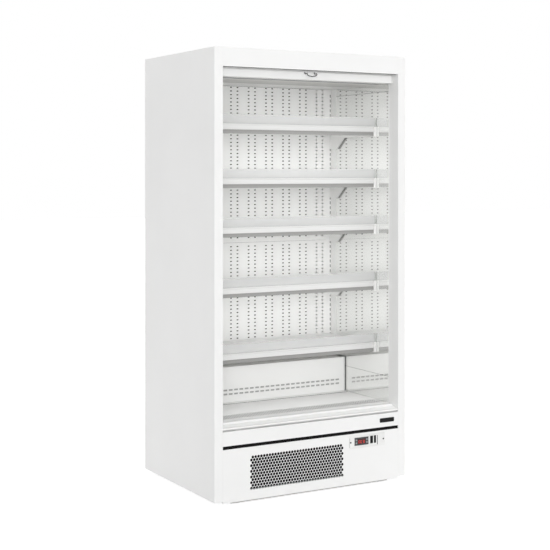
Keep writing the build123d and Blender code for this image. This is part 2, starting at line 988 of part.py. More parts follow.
def controller_housing():
    """Bezel on the insert and the case behind it, with pockets for the keys and the display."""
    right = controller_left + controller_width
    top = controller_bottom + controller_height
    inset = controller_body_inset
    front = insert_recess - controller_bezel
    bezel = block((controller_left, right), (front, insert_recess), (controller_bottom, top))
    case = block(
        (controller_left + inset, right - inset),
        (insert_recess, controller_body_depth),
        (controller_bottom + inset, top - inset),
    )
    housing = bezel + case
    housing -= display_block(front - 1, front + display_proud * 2)
    for side in (-1, 1):
        for row in (-1, 1):
            housing -= button_block(side, row, button_clearance, front - 1, front + button_depth + button_travel)
    return housing


def display_block(front, rear):
    x = controller_left + controller_width / 2
    height = controller_bottom + controller_height / 2
    half_x = display_width / 2
    half_z = display_height / 2
    return block((x - half_x, x + half_x), (front, rear), (height - half_z, height + half_z))


def display_window():
    front = insert_recess - controller_bezel
    return display_block(front - display_proud, front + display_proud * 2)


def control_button(side, row):
    front = insert_recess - controller_bezel - button_proud
    return button_block(side, row, 0, front, front + button_depth)


def switch_body(left, width):
    """Space behind the front that one rocker switch takes."""
    return block(
        (left + switch_rim, left + width - switch_rim),
        (insert_recess, switch_frame_depth),
        (switch_bottom + switch_rim, switch_bottom + switch_height - switch_rim),
    )


def switch_well(left, width):
    """Well inside the frame that the rocker swings in."""
    rim = switch_rim * 2
    return block(
        (left + rim, left + width - rim),
        (-switch_frame_proud - 1, switch_frame_depth - switch_rim),
        (switch_bottom + rim, switch_bottom + switch_height - rim),
    )


def switch_pin(left, width, radius):
    """Pivot pins across one switch."""
    height = switch_bottom + switch_height / 2
    reach = switch_rim * 0.6
    start = left + switch_rim * 2 - reach
    return prism_x(rocker_pivot_depth, height, start, left + width - switch_rim * 2 + reach, radius, 8)


def switch_frame(left, width):
    rim = block(
        (left, left + width),
        (insert_recess - switch_frame_proud - insert_recess, insert_recess),
        (switch_bottom, switch_bottom + switch_height),
    )
    frame = rim + switch_body(left, width) - switch_well(left, width)
    return frame - switch_pin(left, width, rocker_pin_radius + pin_clearance * 3)


def rocker(left, width):
    """Dished rocker on two pins, drawn with its upper end pressed in."""
    rim = switch_rim * 2
    middle = switch_bottom + switch_height / 2
    half = switch_height / 2 - rim - rocker_clearance
    rear = rocker_pivot_depth + rocker_body_depth
    outline = side_outline(
        [
            (-rocker_end_raise, middle + half),
            (0, middle),
            (-rocker_end_raise, middle - half),
            (rocker_pivot_depth, middle - half),
            (rear, middle - half / 2),
            (rear, middle + half / 2),
            (rocker_pivot_depth, middle + half),
        ]
    )
    key = along_x(outline, left + rim + rocker_clearance / 2, left + width - rim - rocker_clearance / 2)
    key += switch_pin(left, width, rocker_pin_radius * math.cos(math.pi / 8))
    pivot = Axis((0, back(rocker_pivot_depth), up(middle)), (1, 0, 0))
    return key.rotate(pivot, -rocker_swing / 2)


# ---------------------------------------------------------------- base and refrigeration unit
def base_tray():
    """Folded floor of the machine space, turned up at the sides and higher at the front."""
    half = inner_half - deck_side_gap
    path = [(-half, tray_edge), (-half, 0), (half, 0), (half, tray_edge)]
    tray = along_y(folded(path, -sheet), plinth_front_depth, service_rear_depth)
    return tray + block((-half, half), (plinth_front_depth, plinth_front_depth + sheet), (0, tray_front_edge))


def plinth_rail(depth):
    """Channel under the base tray, bored for the studs of two feet."""
    path = [(depth, 0), (depth, -plinth_height), (depth + plinth_width, -plinth_height), (depth + plinth_width, 0)]
    rail = along_x(side_outline(folded(path, -sheet)), -plinth_half_width, plinth_half_width)
    for x in (-plinth_half_width + foot_inset, plinth_half_width - foot_inset):
        centre = Pos(x, back(depth + plinth_width / 2), up(-plinth_height - 1))
        rail -= centre * extrude(RegularPolygon(stud_radius + pin_clearance, pin_sides, major_radius=False), amount=sheet + 2)
    return rail


def levelling_foot(x, depth):
    """Hexagonal foot on a stud."""
    centre = Pos(x, back(depth + plinth_width / 2), 0)
    pad = centre * extrude(RegularPolygon(foot_radius, 6), amount=floor_clearance - plinth_height)
    stud = centre * extrude(RegularPolygon(stud_radius, pin_sides), amount=floor_clearance - sheet)
    return pad + stud


def condenser_unit_left():
    return condenser_centre - condenser_width / 2


def condenser_coil():
    left = condenser_unit_left()
    rear = condenser_front + condenser_depth
    return finned_block(left, condenser_width, condenser_front, rear, sheet, condenser_height, condenser_fins)


def condenser_shroud():
    """Air duct behind the condenser with its fan motor on a bar."""
    left = condenser_unit_left()
    right = left + condenser_width
    front = condenser_front + condenser_depth
    rear = front + shroud_depth
    middle = (sheet + condenser_height) / 2
    duct = block((left, right), (front, rear), (sheet, condenser_height))
    duct -= block((left + sheet, right - sheet), (front - 1, rear - sheet), (2 * sheet, condenser_height - sheet))
    throat = condenser_fan_radius + fan_tip_clearance
    duct -= prism_y(condenser_centre, middle, rear - sheet - 1, rear + 1, throat, round_sides)
    motor = fan_motor(
        condenser_centre,
        middle,
        rear,
        rear + motor_length,
        motor_radius,
        front + fan_tip_clearance,
        motor_shaft_radius,
        throat + opening_lip,
    )
    return duct + motor


def condenser_fan():
    front = condenser_front + condenser_depth + fan_tip_clearance * 2
    middle = (sheet + condenser_height) / 2
    length = shroud_depth - fan_tip_clearance * 3
    return fan_rotor(
        condenser_centre, middle, front, length, condenser_fan_radius, motor_radius, motor_shaft_radius
    )


def compressor():
    """Hermetic shell on a foot plate."""
    x, depth = compressor_centre
    foot_top = sheet + compressor_foot
    lower = compressor_height * 0.2
    profile = [
        (compressor_radius * 0.7, 0),
        (compressor_radius * 0.92, lower),
        (compressor_radius * 0.92, compressor_height * 0.5),
        (compressor_radius, compressor_height * 0.52),
        (compressor_radius * 0.92, compressor_height * 0.55),
        (compressor_radius * 0.85, compressor_height * 0.85),
        (compressor_radius * 0.4, compressor_height),
    ]
    shell = Pos(x, back(depth), up(foot_top)) * many_sided_revolve(profile, round_sides)
    wide = compressor_radius * 1.3
    deep = compressor_radius * 0.6
    plate = block((x - wide, x + wide), (depth - deep, depth + deep), (foot_top - sheet, foot_top))
    for side in (-1, 1):
        for end in (-1, 1):
            post_x, post_depth = x + side * (wide - 12), depth + end * (deep - 12)
            plate += block((post_x - 8, post_x + 8), (post_depth - 8, post_depth + 8), (sheet, foot_top))
    return shell + plate


def many_sided_revolve(profile, sides):
    """Flat-sided solid of revolution through (radius, height) points."""
    rings = [many_sided_ring(radius, height, sides) for radius, height in profile]
    faces = [Face(Wire.make_polygon(rings[0])), Face(Wire.make_polygon(rings[-1]))]
    for low, high in zip(rings, rings[1:]):
        for corner in range(sides):
            after = (corner + 1) % sides
            side = (low[corner], low[after], high[after], high[corner])
            faces.append(Face(Wire.make_polygon(side)))
    return Solid(Shell(faces))


def many_sided_ring(radius, height, sides):
    """Corners of a level regular polygon round the Z axis."""
    angles = [2 * math.pi * corner / sides for corner in range(sides)]
    return [Vector(radius * math.cos(angle), radius * math.sin(angle), height) for angle in angles]


def drain_pan():
    """Open pan that catches the defrost water."""
    x = (drain_pan_left, drain_pan_left + drain_pan_width)
    depth = (drain_pan_front, drain_pan_front + drain_pan_length)
    height = (sheet, sheet + drain_pan_height)
    inside = block(
        (x[0] + sheet, x[1] - sheet), (depth[0] + sheet, depth[1] - sheet), (2 * sheet, height[1] + 1)
    )
    return block(x, depth, height) - inside


def service_rear_panel():
    """Louvred back of the machine space with the hole for the mains gland."""
    half = inner_half - deck_side_gap
    rear = service_rear_depth + sheet
    panel = block((-half, half), (service_rear_depth, rear), (0, sill_bottom))
    for number in range(louvre_count):
        height = tray_edge + louvre_pitch * (number + 1)
        for side in (-1, 1):
            x = side * (louvre_width + louvre_gap) / 2
            panel -= block(
                (x - louvre_width / 2, x + louvre_width / 2),
                (service_rear_depth - 1, rear + 1),
                (height, height + louvre_height),
            )
    x, height = gland_centre
    bore = gland_radius * 0.75
    return panel - prism_y(x, height, service_rear_depth - 1, rear + 1, bore, pin_sides)


def mains_gland():
    """Bare cable gland on the back of the machine space."""
    x, height = gland_centre
    start = service_rear_depth + sheet
    nut = prism_y(x, height, start, start + gland_length / 2, gland_radius, 6)
    collar = prism_y(x, height, start, start + gland_length, gland_radius * 0.75, pin_sides)
    return nut + collar - prism_y(x, height, start - 1, start + gland_length + 1, gland_radius * 0.35, pin_sides)


# ---------------------------------------------------------------- all nodes
def build():
    os.makedirs("parts", exist_ok=True)
    right_panel = side_panel()
    save("side_panel_right", right_panel)
    save("side_panel_left", mirror(right_panel, about=Plane.YZ))
    mirrors = side_mirror()
    save("side_mirrors", mirrors + [mirror(each, about=Plane.YZ) for each in mirrors])
    save("rear_wall", rear_wall())
    save("roof_panel", roof_panel())
    save("insulated_floor", insulated_floor())

    save("top_fascia", top_fascia())
    save("blind_cassette", blind_cassette())
    save("blind_roller", blind_roller())
    save("blind_cloth", blind_cloth())
    save("blind_bottom_rail", blind_bottom_rail())
    save("pull_handle", pull_handle())

    save("ceiling_front", ceiling_front())
    save("ceiling_rear", ceiling_profile(ceiling_joint, back_panel_depth))
    save("lamp_body", lamp_body())
    save("lamp_diffuser", lamp_diffuser())
    save("air_honeycomb", air_honeycomb())

    save("uprights", mirrored_pair(upright()))
    save("back_panel_lower", back_panel(back_panel_bottom, back_panel_joint - seam))
    save("back_panel_upper", back_panel(back_panel_joint + seam, ceiling_height - 1))

    brackets, rails, risers = [], [], []
    for number, top in enumerate(shelf_tops(), start=1):
        save(f"shelf_tray_{number}", shelf_tray(top))
        brackets += mirrored_pair(shelf_bracket(top))
        rails.append(ticket_rail(top))
        risers.append(glass_riser(top))
    save("shelf_brackets", brackets)
    save("ticket_rails", rails)
    save("glass_risers", risers)

    save("fan_cover", fan_cover())
    save("evaporator_fan_plate", evaporator_fan_plate())
    save("evaporator_fan_frames", [evaporator_fan_frame(x) for x in evaporator_fan_x()])
    for number, x in enumerate(evaporator_fan_x(), start=1):
        save(f"evaporator_fan_{number}", evaporator_fan(x))
    coil_front = rear_wall_depth - coil_depth
    save(
        "evaporator_coil",
        finned_block(
            -coil_half_width,
            2 * coil_half_width,
            coil_front,
            rear_wall_depth,
            coil_bottom,
            coil_bottom + coil_height,
            evaporator_fins,
        ),
    )

    save("deck_panel", deck_panel())
    save("return_grille", return_grille())
    save("front_ledge", front_ledge())
    save("sill_fascia", sill_fascia())
    save("shadow_seal", shadow_seal())

    save("service_panel", service_panel())
    save("control_plate", control_plate())
    save("controller_housing", controller_housing())
    save("display_window", display_window())
    save("button_set", control_button(-1, 1))
    save("button_defrost", control_button(-1, -1))
    save("button_up", control_button(1, 1))
    save("button_down", control_button(1, -1))
    save("switch_frames", [switch_frame(*each) for each in zip(switch_lefts, switch_widths)])
    for name, each in zip(("rocker_power", "rocker_light"), zip(switch_lefts, switch_widths)):
        save(name, rocker(*each))

    save("base_tray", base_tray())
    plinth_depths = (plinth_front_depth, plinth_rear_depth)
    save("plinth_rails", [plinth_rail(depth) for depth in plinth_depths])
    foot_x = plinth_half_width - foot_inset
    save("levelling_feet", [levelling_foot(x, d) for x in (-foot_x, foot_x) for d in plinth_depths])
    save("condenser_coil", condenser_coil())
    save("condenser_shroud", condenser_shroud())
    save("condenser_fan", condenser_fan())
    save("compressor", compressor())
    save("drain_pan", drain_pan())
    save("service_rear_panel", service_rear_panel())
    save("mains_gland", mains_gland())


build()
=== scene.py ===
import json
import math

import bpy
from mathutils import Matrix, Vector


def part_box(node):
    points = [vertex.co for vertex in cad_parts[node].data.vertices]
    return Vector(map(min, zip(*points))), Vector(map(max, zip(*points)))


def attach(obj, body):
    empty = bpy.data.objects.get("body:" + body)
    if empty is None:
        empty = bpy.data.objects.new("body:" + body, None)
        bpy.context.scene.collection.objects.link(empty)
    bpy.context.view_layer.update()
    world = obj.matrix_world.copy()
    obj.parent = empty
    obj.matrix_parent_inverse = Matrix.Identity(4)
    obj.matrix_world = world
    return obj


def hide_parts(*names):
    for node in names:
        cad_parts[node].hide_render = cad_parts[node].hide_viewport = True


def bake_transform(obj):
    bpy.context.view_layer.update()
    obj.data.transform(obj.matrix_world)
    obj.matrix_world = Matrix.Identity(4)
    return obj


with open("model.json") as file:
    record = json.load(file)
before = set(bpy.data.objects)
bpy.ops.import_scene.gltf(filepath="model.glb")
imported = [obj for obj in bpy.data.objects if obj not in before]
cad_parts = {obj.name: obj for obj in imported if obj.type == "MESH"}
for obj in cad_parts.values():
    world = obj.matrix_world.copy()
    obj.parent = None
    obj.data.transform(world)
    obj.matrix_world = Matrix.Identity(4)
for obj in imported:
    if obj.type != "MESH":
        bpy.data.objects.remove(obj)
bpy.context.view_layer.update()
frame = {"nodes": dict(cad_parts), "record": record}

# ---------------------------------------------------------------- sizes and places
MM = 0.001

# Front, lower edge and inner face of the right-hand side panel, from the frame
PANEL_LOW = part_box("side_panel_right")[0]
FRONT = PANEL_LOW.y
BASE = PANEL_LOW.z
WALL = PANEL_LOW.x

# The photograph: a level camera with vertical shift, solved from the cabinet's straight edges
PHOTO_SIZE = 550
PHOTO_FOCAL = 1242.74
PHOTO_HORIZON = 171.54
CAMERA_TURN = math.radians(29.96)
CAMERA_FROM_FRONT = Vector((-2.92707, -4.72774, 1.41880))
SENSOR = 36.0

# Thickness of thin sheet in the scene, and how far a thin trim piece keeps off or laps its neighbour
SHEET = 1.5 * MM
TOUCH = 0.2 * MM

# Air slots of the back lining: a middle pair of columns, and more pairs to each side of it
SLOT_PAIR_PITCH = 97 * MM
SLOT_PAIRS_PER_SIDE = 4
SLOT_PAIR_WIDTH = 35.5 * MM
SLOT_SIZE = (10 * MM, 4.8 * MM)
SLOT_PITCH = 17.75 * MM

# Polished linings: their joints, and the strips that cover their rear ends
JOINT_HEIGHT = 1.8 * MM
STRIP_WIDTH = 46 * MM

# Folded skirts under the shelf trays
SKIRT_DROP = 17.5 * MM
SKIRT_FOLD = 14 * MM

# Fan cover: its slots, their rows above its lower edge, its foot on the deck and its end seals
COVER_SLOT = (21 * MM, 8 * MM)
COVER_PITCH = 28.4 * MM
COVER_SLOTS = 30
COVER_ROWS = (39 * MM, 58 * MM)
COVER_FOOT = 39 * MM
COVER_SEAL = 8 * MM

# Return grille: pitch, slope and width of its slanted bars, and its plain front and rear edges
GRILLE_PITCH = 13.6 * MM
GRILLE_SLOPE = 0.8
GRILLE_BAR = 8.4 * MM
GRILLE_EDGE = 4 * MM

# Ledge in front of the return grille: its fine steps and its upright nose
LEDGE_TREADS = 4
LEDGE_STEP = 1.0 * MM
LEDGE_NOSE = 3.5 * MM

# Round holes of the service panel: the first is placed from the cabinet's middle and the panel's top
HOLE_RADIUS = 6.5 * MM
HOLE_PITCH = 14.25 * MM
HOLE_ROW_PITCH = 12.3 * MM
HOLE_COLUMNS = 33
HOLE_ROWS = 12
HOLE_LEFT = -313 * MM
HOLE_DROP = 48 * MM
HOLE_SIDES = 18

# Control plate: its flange behind the service panel, its screws, and the margins round its insert
PLATE_FLANGE = 6 * MM
SCREWS = (196 * MM, 376 * MM)
INSERT_LEFT = 6 * MM
INSERT_FOOT = 4 * MM
INSERT_RIGHT = 39.5 * MM
INSERT_TOP = 8 * MM

# Numerals of the display: height, and the place and lit segments of each
DIGIT_HEIGHT = 11 * MM
DIGITS = ((-17 * MM, "abcdef"), (-7 * MM, "abcdef"), (9 * MM, "abcdefg"))

# Plaque on the sill: its ends, middle height and half height
PLAQUE = (356 * MM, 436 * MM)
PLAQUE_HEIGHT = BASE + 269 * MM
PLAQUE_HALF = 10 * MM


# ---------------------------------------------------------------- mesh helpers
def link(obj):
    """Adds an object to the scene."""
    bpy.context.scene.collection.objects.link(obj)
    return obj


def piece(name, meshes, material, body="cabinet", stands_for=()):
    """One object of several meshes joined, with its material, riding on a body."""
    joined = bpy.data.meshes.new(name)
    vertices, faces = [], []
    for mesh in meshes:
        start = len(vertices)
        vertices += [v.co.copy() for v in mesh.vertices]
        faces += [[start + i for i in p.vertices] for p in mesh.polygons]
    joined.from_pydata(vertices, [], faces)
    joined.materials.append(material)
    obj = link(bpy.data.objects.new(name, joined))
    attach(obj, body)
    if stands_for:
        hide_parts(*stands_for)
    return obj


def bevelled(obj, width, segments=2):
    """Rounds the hard edges of a piece."""
    modifier = obj.modifiers.new("soft_edges", "BEVEL")
    modifier.width = width
    modifier.segments = segments
    modifier.limit_method = "ANGLE"
    modifier.angle_limit = math.radians(40)
    return obj


def block(low, high):
    """Box mesh between two corners."""
    xs, ys, zs = zip(low, high)
    mesh = bpy.data.meshes.new("block")
    corners = [(x, y, z) for x in xs for y in ys for z in zs]
    faces = [(0, 1, 3, 2), (4, 6, 7, 5), (0, 4, 5, 1), (2, 3, 7, 6), (0, 2, 6, 4), (1, 5, 7, 3)]
    mesh.from_pydata(corners, [], faces)
    return mesh


def flat_sheet(outline, holes, thickness, place):
    """Sheet with holes cut through it, from closed outlines in its own plane."""
    curve = bpy.data.curves.new("outline", "CURVE")
    curve.dimensions = "2D"
    curve.fill_mode = "BOTH"
    curve.extrude = thickness / 2
    for loop in [outline, *holes]:
        spline = curve.splines.new("POLY")
        spline.points.add(len(loop) - 1)
        for point, (u, v) in zip(spline.points, loop):
            point.co = (u, v, 0, 1)
        spline.use_cyclic_u = True
    carrier = bpy.data.objects.new("outline", curve)
    mesh = bpy.data.meshes.new_from_object(carrier)
    mesh.transform(place)
    bpy.data.objects.remove(carrier)
    return mesh


def slotted_sheet(u_edges, v_edges, thickness, place):
    """Sheet with rows of slots: every second span of both edge lists is open."""
    mesh = bpy.data.meshes.new("slotted_sheet")
    columns, rows = len(u_edges), len(v_edges)
    vertices = []
    for half in (thickness / 2, -thickness / 2):
        for v in v_edges:
            vertices += [(u, v, half) for u in u_edges]
    back = columns * rows
    faces = []
    for row in range(rows - 1):
        for column in range(columns - 1):
            a = row * columns + column
            b, c, d = a + 1, a + columns + 1, a + columns
            if row % 2 and column % 2:
                faces += [(p, q, q + back, p + back) for p, q in ((b, a), (c, b), (d, c), (a, d))]
            else:
                faces += [(a, b, c, d), (d + back, c + back, b + back, a + back)]
    for column in range(columns - 1):
        for p, q in ((column, column + 1), (back - 1 - column, back - 2 - column)):
            faces.append((q, p, p + back, q + back))
    for row in range(rows - 1):
        right, left = (row + 1) * columns - 1, (rows - 1 - row) * columns
        for p, q in ((right, right + columns), (left, left - columns)):
            faces.append((q, p, p + back, q + back))
    mesh.from_pydata(vertices, [], faces)
    mesh.transform(place)
    return mesh


def span_edges(low, high, centres, width):
    """Edges of the outer ends and of evenly wide slots."""
    edges = [low]
    for centre in centres:
        edges += [centre - width / 2, centre + width / 2]
    return edges + [high]


def rectangle(u0, v0, u1, v1):
    """Outline of a rectangle between two corners."""
    return [(u0, v0), (u1, v0), (u1, v1), (u0, v1)]


def rounded(u0, v0, u1, v1, radius, steps=5):
    """Rectangle with round corners."""
    loop = []
    corners = rectangle(u1 - radius, v1 - radius, u0 + radius, v0 + radius)
    for quarter, (u, v) in enumerate(corners):
        for step in range(steps + 1):
            angle = math.radians(90 * (quarter + step / steps))
            loop.append((u + radius * math.cos(angle), v + radius * math.sin(angle)))
    return loop


def circle(u, v, radius, sides):
    """Outline of a round hole."""
    turns = [2 * math.pi * step / sides for step in range(sides)]
    return [(u + radius * math.cos(turn), v + radius * math.sin(turn)) for turn in turns]


def facing_front(y):
    """Stands a sheet up in the X-Z plane with its middle at y."""
    return Matrix.Translation((0, y, 0)) @ Matrix.Rotation(math.radians(90), 4, "X")


# ---------------------------------------------------------------- materials
class Nodes:
    """Short calls for building a node material."""

    def __init__(self, name):
        self.material = bpy.data.materials.new(name)
        self.material.use_nodes = True
        self.tree = self.material.node_tree
        self.shader = self.tree.nodes["Principled BSDF"]
        self.space = self.tree.nodes.new("ShaderNodeTexCoord").outputs["Object"]

    def add(self, kind, **settings):
        """New shader node of a kind, with its settings."""
        node = self.tree.nodes.new("ShaderNode" + kind)
        for key, value in settings.items():
            setattr(node, key, value)
        return node

    def join(self, output, target):
        """Links an output to an input."""
        self.tree.links.new(output, target)

    def scaled(self, scale):
        """Object coordinates stretched along each axis."""
        mapping = self.add("Mapping")
        mapping.inputs["Scale"].default_value = scale
        self.join(self.space, mapping.inputs["Vector"])
        return mapping.outputs["Vector"]

    def noise(self, scale, detail=2.0, stretch=(1, 1, 1)):
        """Noise over the object, between 0 and 1."""
        node = self.add("TexNoise")
        node.inputs["Scale"].default_value = scale
        node.inputs["Detail"].default_value = detail
        self.join(self.scaled(stretch), node.inputs["Vector"])
        return node.outputs["Fac"]

    def spread(self, value, low, high):
        """Maps the middle of a 0-1 noise to a range."""
        node = self.add("MapRange")
        node.inputs["From Min"].default_value = 0.3
        node.inputs["From Max"].default_value = 0.7
        node.inputs["To Min"].default_value = low
        node.inputs["To Max"].default_value = high
        self.join(value, node.inputs["Value"])
        return node.outputs["Result"]

    def mix(self, value, dark, light):
        """Colour between two, by a value from 0 to 1."""
        node = self.add("Mix", data_type="RGBA")
        node.inputs["A"].default_value = (*dark, 1)
        node.inputs["B"].default_value = (*light, 1)
        self.join(value, node.inputs["Factor"])
        return node.outputs["Result"]

    def bump(self, value, height, strength=1.0):
        """Fine relief of the surface."""
        node = self.add("Bump")
        node.inputs["Distance"].default_value = height
        node.inputs["Strength"].default_value = strength
        self.join(value, node.inputs["Height"])
        self.join(node.outputs["Normal"], self.shader.inputs["Normal"])

    def set(self, **values):
        """Constant values on the shader's own inputs."""
        for key, value in values.items():
            self.shader.inputs[key.replace("_", " ")].default_value = value

    def colour(self, output):
        """Drives the base colour."""
        self.join(output, self.shader.inputs["Base Color"])

    def roughness(self, output):
        """Drives the roughness."""
        self.join(output, self.shader.inputs["Roughness"])


def shade(colour, factor):
    """Colour made darker or lighter by a factor."""
    return tuple(min(1.0, channel * factor) for channel in colour)


def powder_coat(name, colour, low=0.32, high=0.42, peel=0.00004):
    """Sprayed and baked coat: orange peel, a little uneven in gloss and tone."""
    nodes = Nodes(name)
    nodes.colour(nodes.mix(nodes.spread(nodes.noise(3.0), 0, 1), shade(colour, 0.985), shade(colour, 1.01)))
    nodes.roughness(nodes.spread(nodes.noise(45.0), low, high))
    nodes.bump(nodes.noise(650.0, 1.0), peel, 0.35)
    nodes.set(Specular_IOR_Level=0.4)
    return nodes.material


def polished_lining(name, colour):
    """Bright-rolled lining sheet: a mirror with a faint rolling grain."""
    nodes = Nodes(name)
    grain = nodes.noise(60.0, 3.0, (1, 1, 30))
    nodes.colour(nodes.mix(nodes.spread(grain, 0, 1), shade(colour, 0.985), colour))
    nodes.roughness(nodes.spread(grain, 0.01, 0.03))
    nodes.set(Metallic=0.75)
    return nodes.material


def brushed(name, colour, stretch, low=0.22, high=0.38, metallic=1.0, contrast=0.06):
    """Extruded or drawn metal with grain along one axis."""
    nodes = Nodes(name)
    grain = nodes.noise(1.0, 3.0, stretch)
    nodes.colour(nodes.mix(nodes.spread(grain, 0, 1), shade(colour, 1 - contrast), colour))
    nodes.roughness(nodes.spread(grain, low, high))
    nodes.bump(grain, 0.00001, 0.25)
    nodes.set(Metallic=metallic)
    return nodes.material


def galvanised(name):
    """Zinc coat with crystalline spangle."""
    nodes = Nodes(name)
    cells = nodes.add("TexVoronoi")
    cells.inputs["Scale"].default_value = 110.0
    nodes.join(nodes.space, cells.inputs["Vector"])
    tone = nodes.add("SeparateColor")
    nodes.join(cells.outputs["Color"], tone.inputs["Color"])
    nodes.colour(nodes.mix(tone.outputs["Red"], (0.50, 0.52, 0.53), (0.66, 0.68, 0.69)))
    nodes.roughness(nodes.spread(tone.outputs["Green"], 0.30, 0.46))
    nodes.set(Metallic=1.0)
    return nodes.material


def moulded(name, colour, low, high, grain=0.00004, shine=0.5):
    """Injection-moulded plastic with a fine spark-eroded grain."""
    nodes = Nodes(name)
    nodes.colour(nodes.mix(nodes.spread(nodes.noise(18.0), 0, 1), shade(colour, 0.92), colour))
    nodes.roughness(nodes.spread(nodes.noise(900.0), low, high))
    nodes.bump(nodes.noise(2600.0, 1.0), grain, 0.4)
    nodes.set(Specular_IOR_Level=shine)
    return nodes.material


def clear_riser(name, half_width):
    """Clear sheet that shows its green in the polished ends."""
    nodes = Nodes(name)
    split = nodes.add("SeparateXYZ")
    nodes.join(nodes.space, split.inputs["Vector"])
    side = nodes.add("Math", operation="ABSOLUTE")
    nodes.join(split.outputs["X"], side.inputs[0])
    ends = nodes.add("MapRange")
    ends.inputs["From Min"].default_value = half_width - 1.2 * MM
    ends.inputs["From Max"].default_value = half_width - 0.8 * MM
    nodes.join(side.outputs["Value"], ends.inputs["Value"])
    nodes.colour(nodes.mix(ends.outputs["Result"], (0.50, 0.505, 0.50), (0.16, 0.20, 0.18)))
    nodes.roughness(nodes.spread(nodes.noise(25.0), 0.0, 0.02))
    cover = nodes.add("MapRange")
    cover.inputs["To Min"].default_value = 0.5
    nodes.join(ends.outputs["Result"], cover.inputs["Value"])
    nodes.join(cover.outputs["Result"], nodes.shader.inputs["Alpha"])
    return nodes.material


def sheet_with_painted_shade_edge(name, face, edge):
    """Coated sheet-metal arm that is white, with painted shade on its outer edge where that faces down."""
    nodes = Nodes(name)
    # Painted shade: the outer edge turns dark where its face points down
    split = nodes.add("SeparateXYZ")
    nodes.join(nodes.add("TexCoord").outputs["Normal"], split.inputs["Vector"])
    down = nodes.add("MapRange")
    down.inputs["From Min"].default_value = -0.3
    down.inputs["From Max"].default_value = -0.5
    nodes.join(split.outputs["Z"], down.inputs["Value"])
    place = nodes.add("SeparateXYZ")
    nodes.join(nodes.space, place.inputs["Vector"])
    reach = nodes.add("Math", operation="ABSOLUTE")
    nodes.join(place.outputs["X"], reach.inputs[0])
    outer = nodes.add("Math", operation="GREATER_THAN")
    outer.inputs[1].default_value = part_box("shelf_brackets")[1].x - 2.5 * MM
    nodes.join(reach.outputs["Value"], outer.inputs[0])
    both = nodes.add("Math", operation="MULTIPLY")
    nodes.join(down.outputs["Result"], both.inputs[0])
    nodes.join(outer.outputs["Value"], both.inputs[1])
    nodes.colour(nodes.mix(both.outputs["Value"], face, edge))
    nodes.roughness(nodes.spread(nodes.noise(45.0), 0.35, 0.45))
    nodes.bump(nodes.noise(650.0, 1.0), 0.00004, 0.35)
    return nodes.material


def woven(name, colour):
    """Aluminised polyester cloth: plain weave of fine threads, painted darker in the hollows of the weave as
    painted shade.
    """
    nodes = Nodes(name)
    warp = nodes.add("TexWave", bands_direction="X")
    weft = nodes.add("TexWave", bands_direction="Z")
    for wave in (warp, weft):
        wave.inputs["Scale"].default_value = 320.0
        wave.inputs["Distortion"].default_value = 0.4
        nodes.join(nodes.space, wave.inputs["Vector"])
    weave = nodes.add("Math", operation="MULTIPLY")
    nodes.join(warp.outputs["Fac"], weave.inputs[0])
    nodes.join(weft.outputs["Fac"], weave.inputs[1])
    # Darker colour in the weave's hollows is painted shade
    nodes.colour(nodes.mix(weave.outputs["Value"], shade(colour, 0.8), colour))
    nodes.bump(weave.outputs["Value"], 0.0001, 0.5)
    nodes.set(Roughness=0.55, Metallic=0.3)
    return nodes.material


def finned(name, gap, fin, metallic=0.9):
    """Stack of thin fins across the coil, painted darker in the gaps between fins: painted shade."""
    nodes = Nodes(name)
    fins = nodes.add("TexWave", bands_direction="X")
    fins.inputs["Scale"].default_value = 90.0
    nodes.join(nodes.space, fins.inputs["Vector"])
    # Darker gap colour between the fins is painted shade
    nodes.colour(nodes.mix(fins.outputs["Fac"], gap, fin))
    nodes.bump(fins.outputs["Fac"], 0.002, 0.8)
    nodes.set(Roughness=0.4, Metallic=metallic)
    return nodes.material


def foam(name, colour):
    """Closed-cell foam or sealant with a pitted skin, painted darker in the pits: painted shade."""
    nodes = Nodes(name)
    pits = nodes.noise(420.0, 3.0)
    # Darker colour in the pits is painted shade
    nodes.colour(nodes.mix(nodes.spread(pits, 0, 1), shade(colour, 0.8), colour))
    nodes.roughness(nodes.spread(pits, 0.75, 0.9))
    nodes.bump(pits, 0.0003, 0.5)
    nodes.set(Specular_IOR_Level=0.2)
    return nodes.material


def lit_segment(name):
    """Red light-emitting segment behind its window."""
    nodes = Nodes(name)
    nodes.colour(nodes.mix(nodes.spread(nodes.noise(900.0), 0, 1), (0.5, 0.01, 0.008), (0.7, 0.02, 0.015)))
    nodes.set(Roughness=0.4, Emission_Color=(0.85, 0.03, 0.02, 1), Emission_Strength=0.45)
    return nodes.material


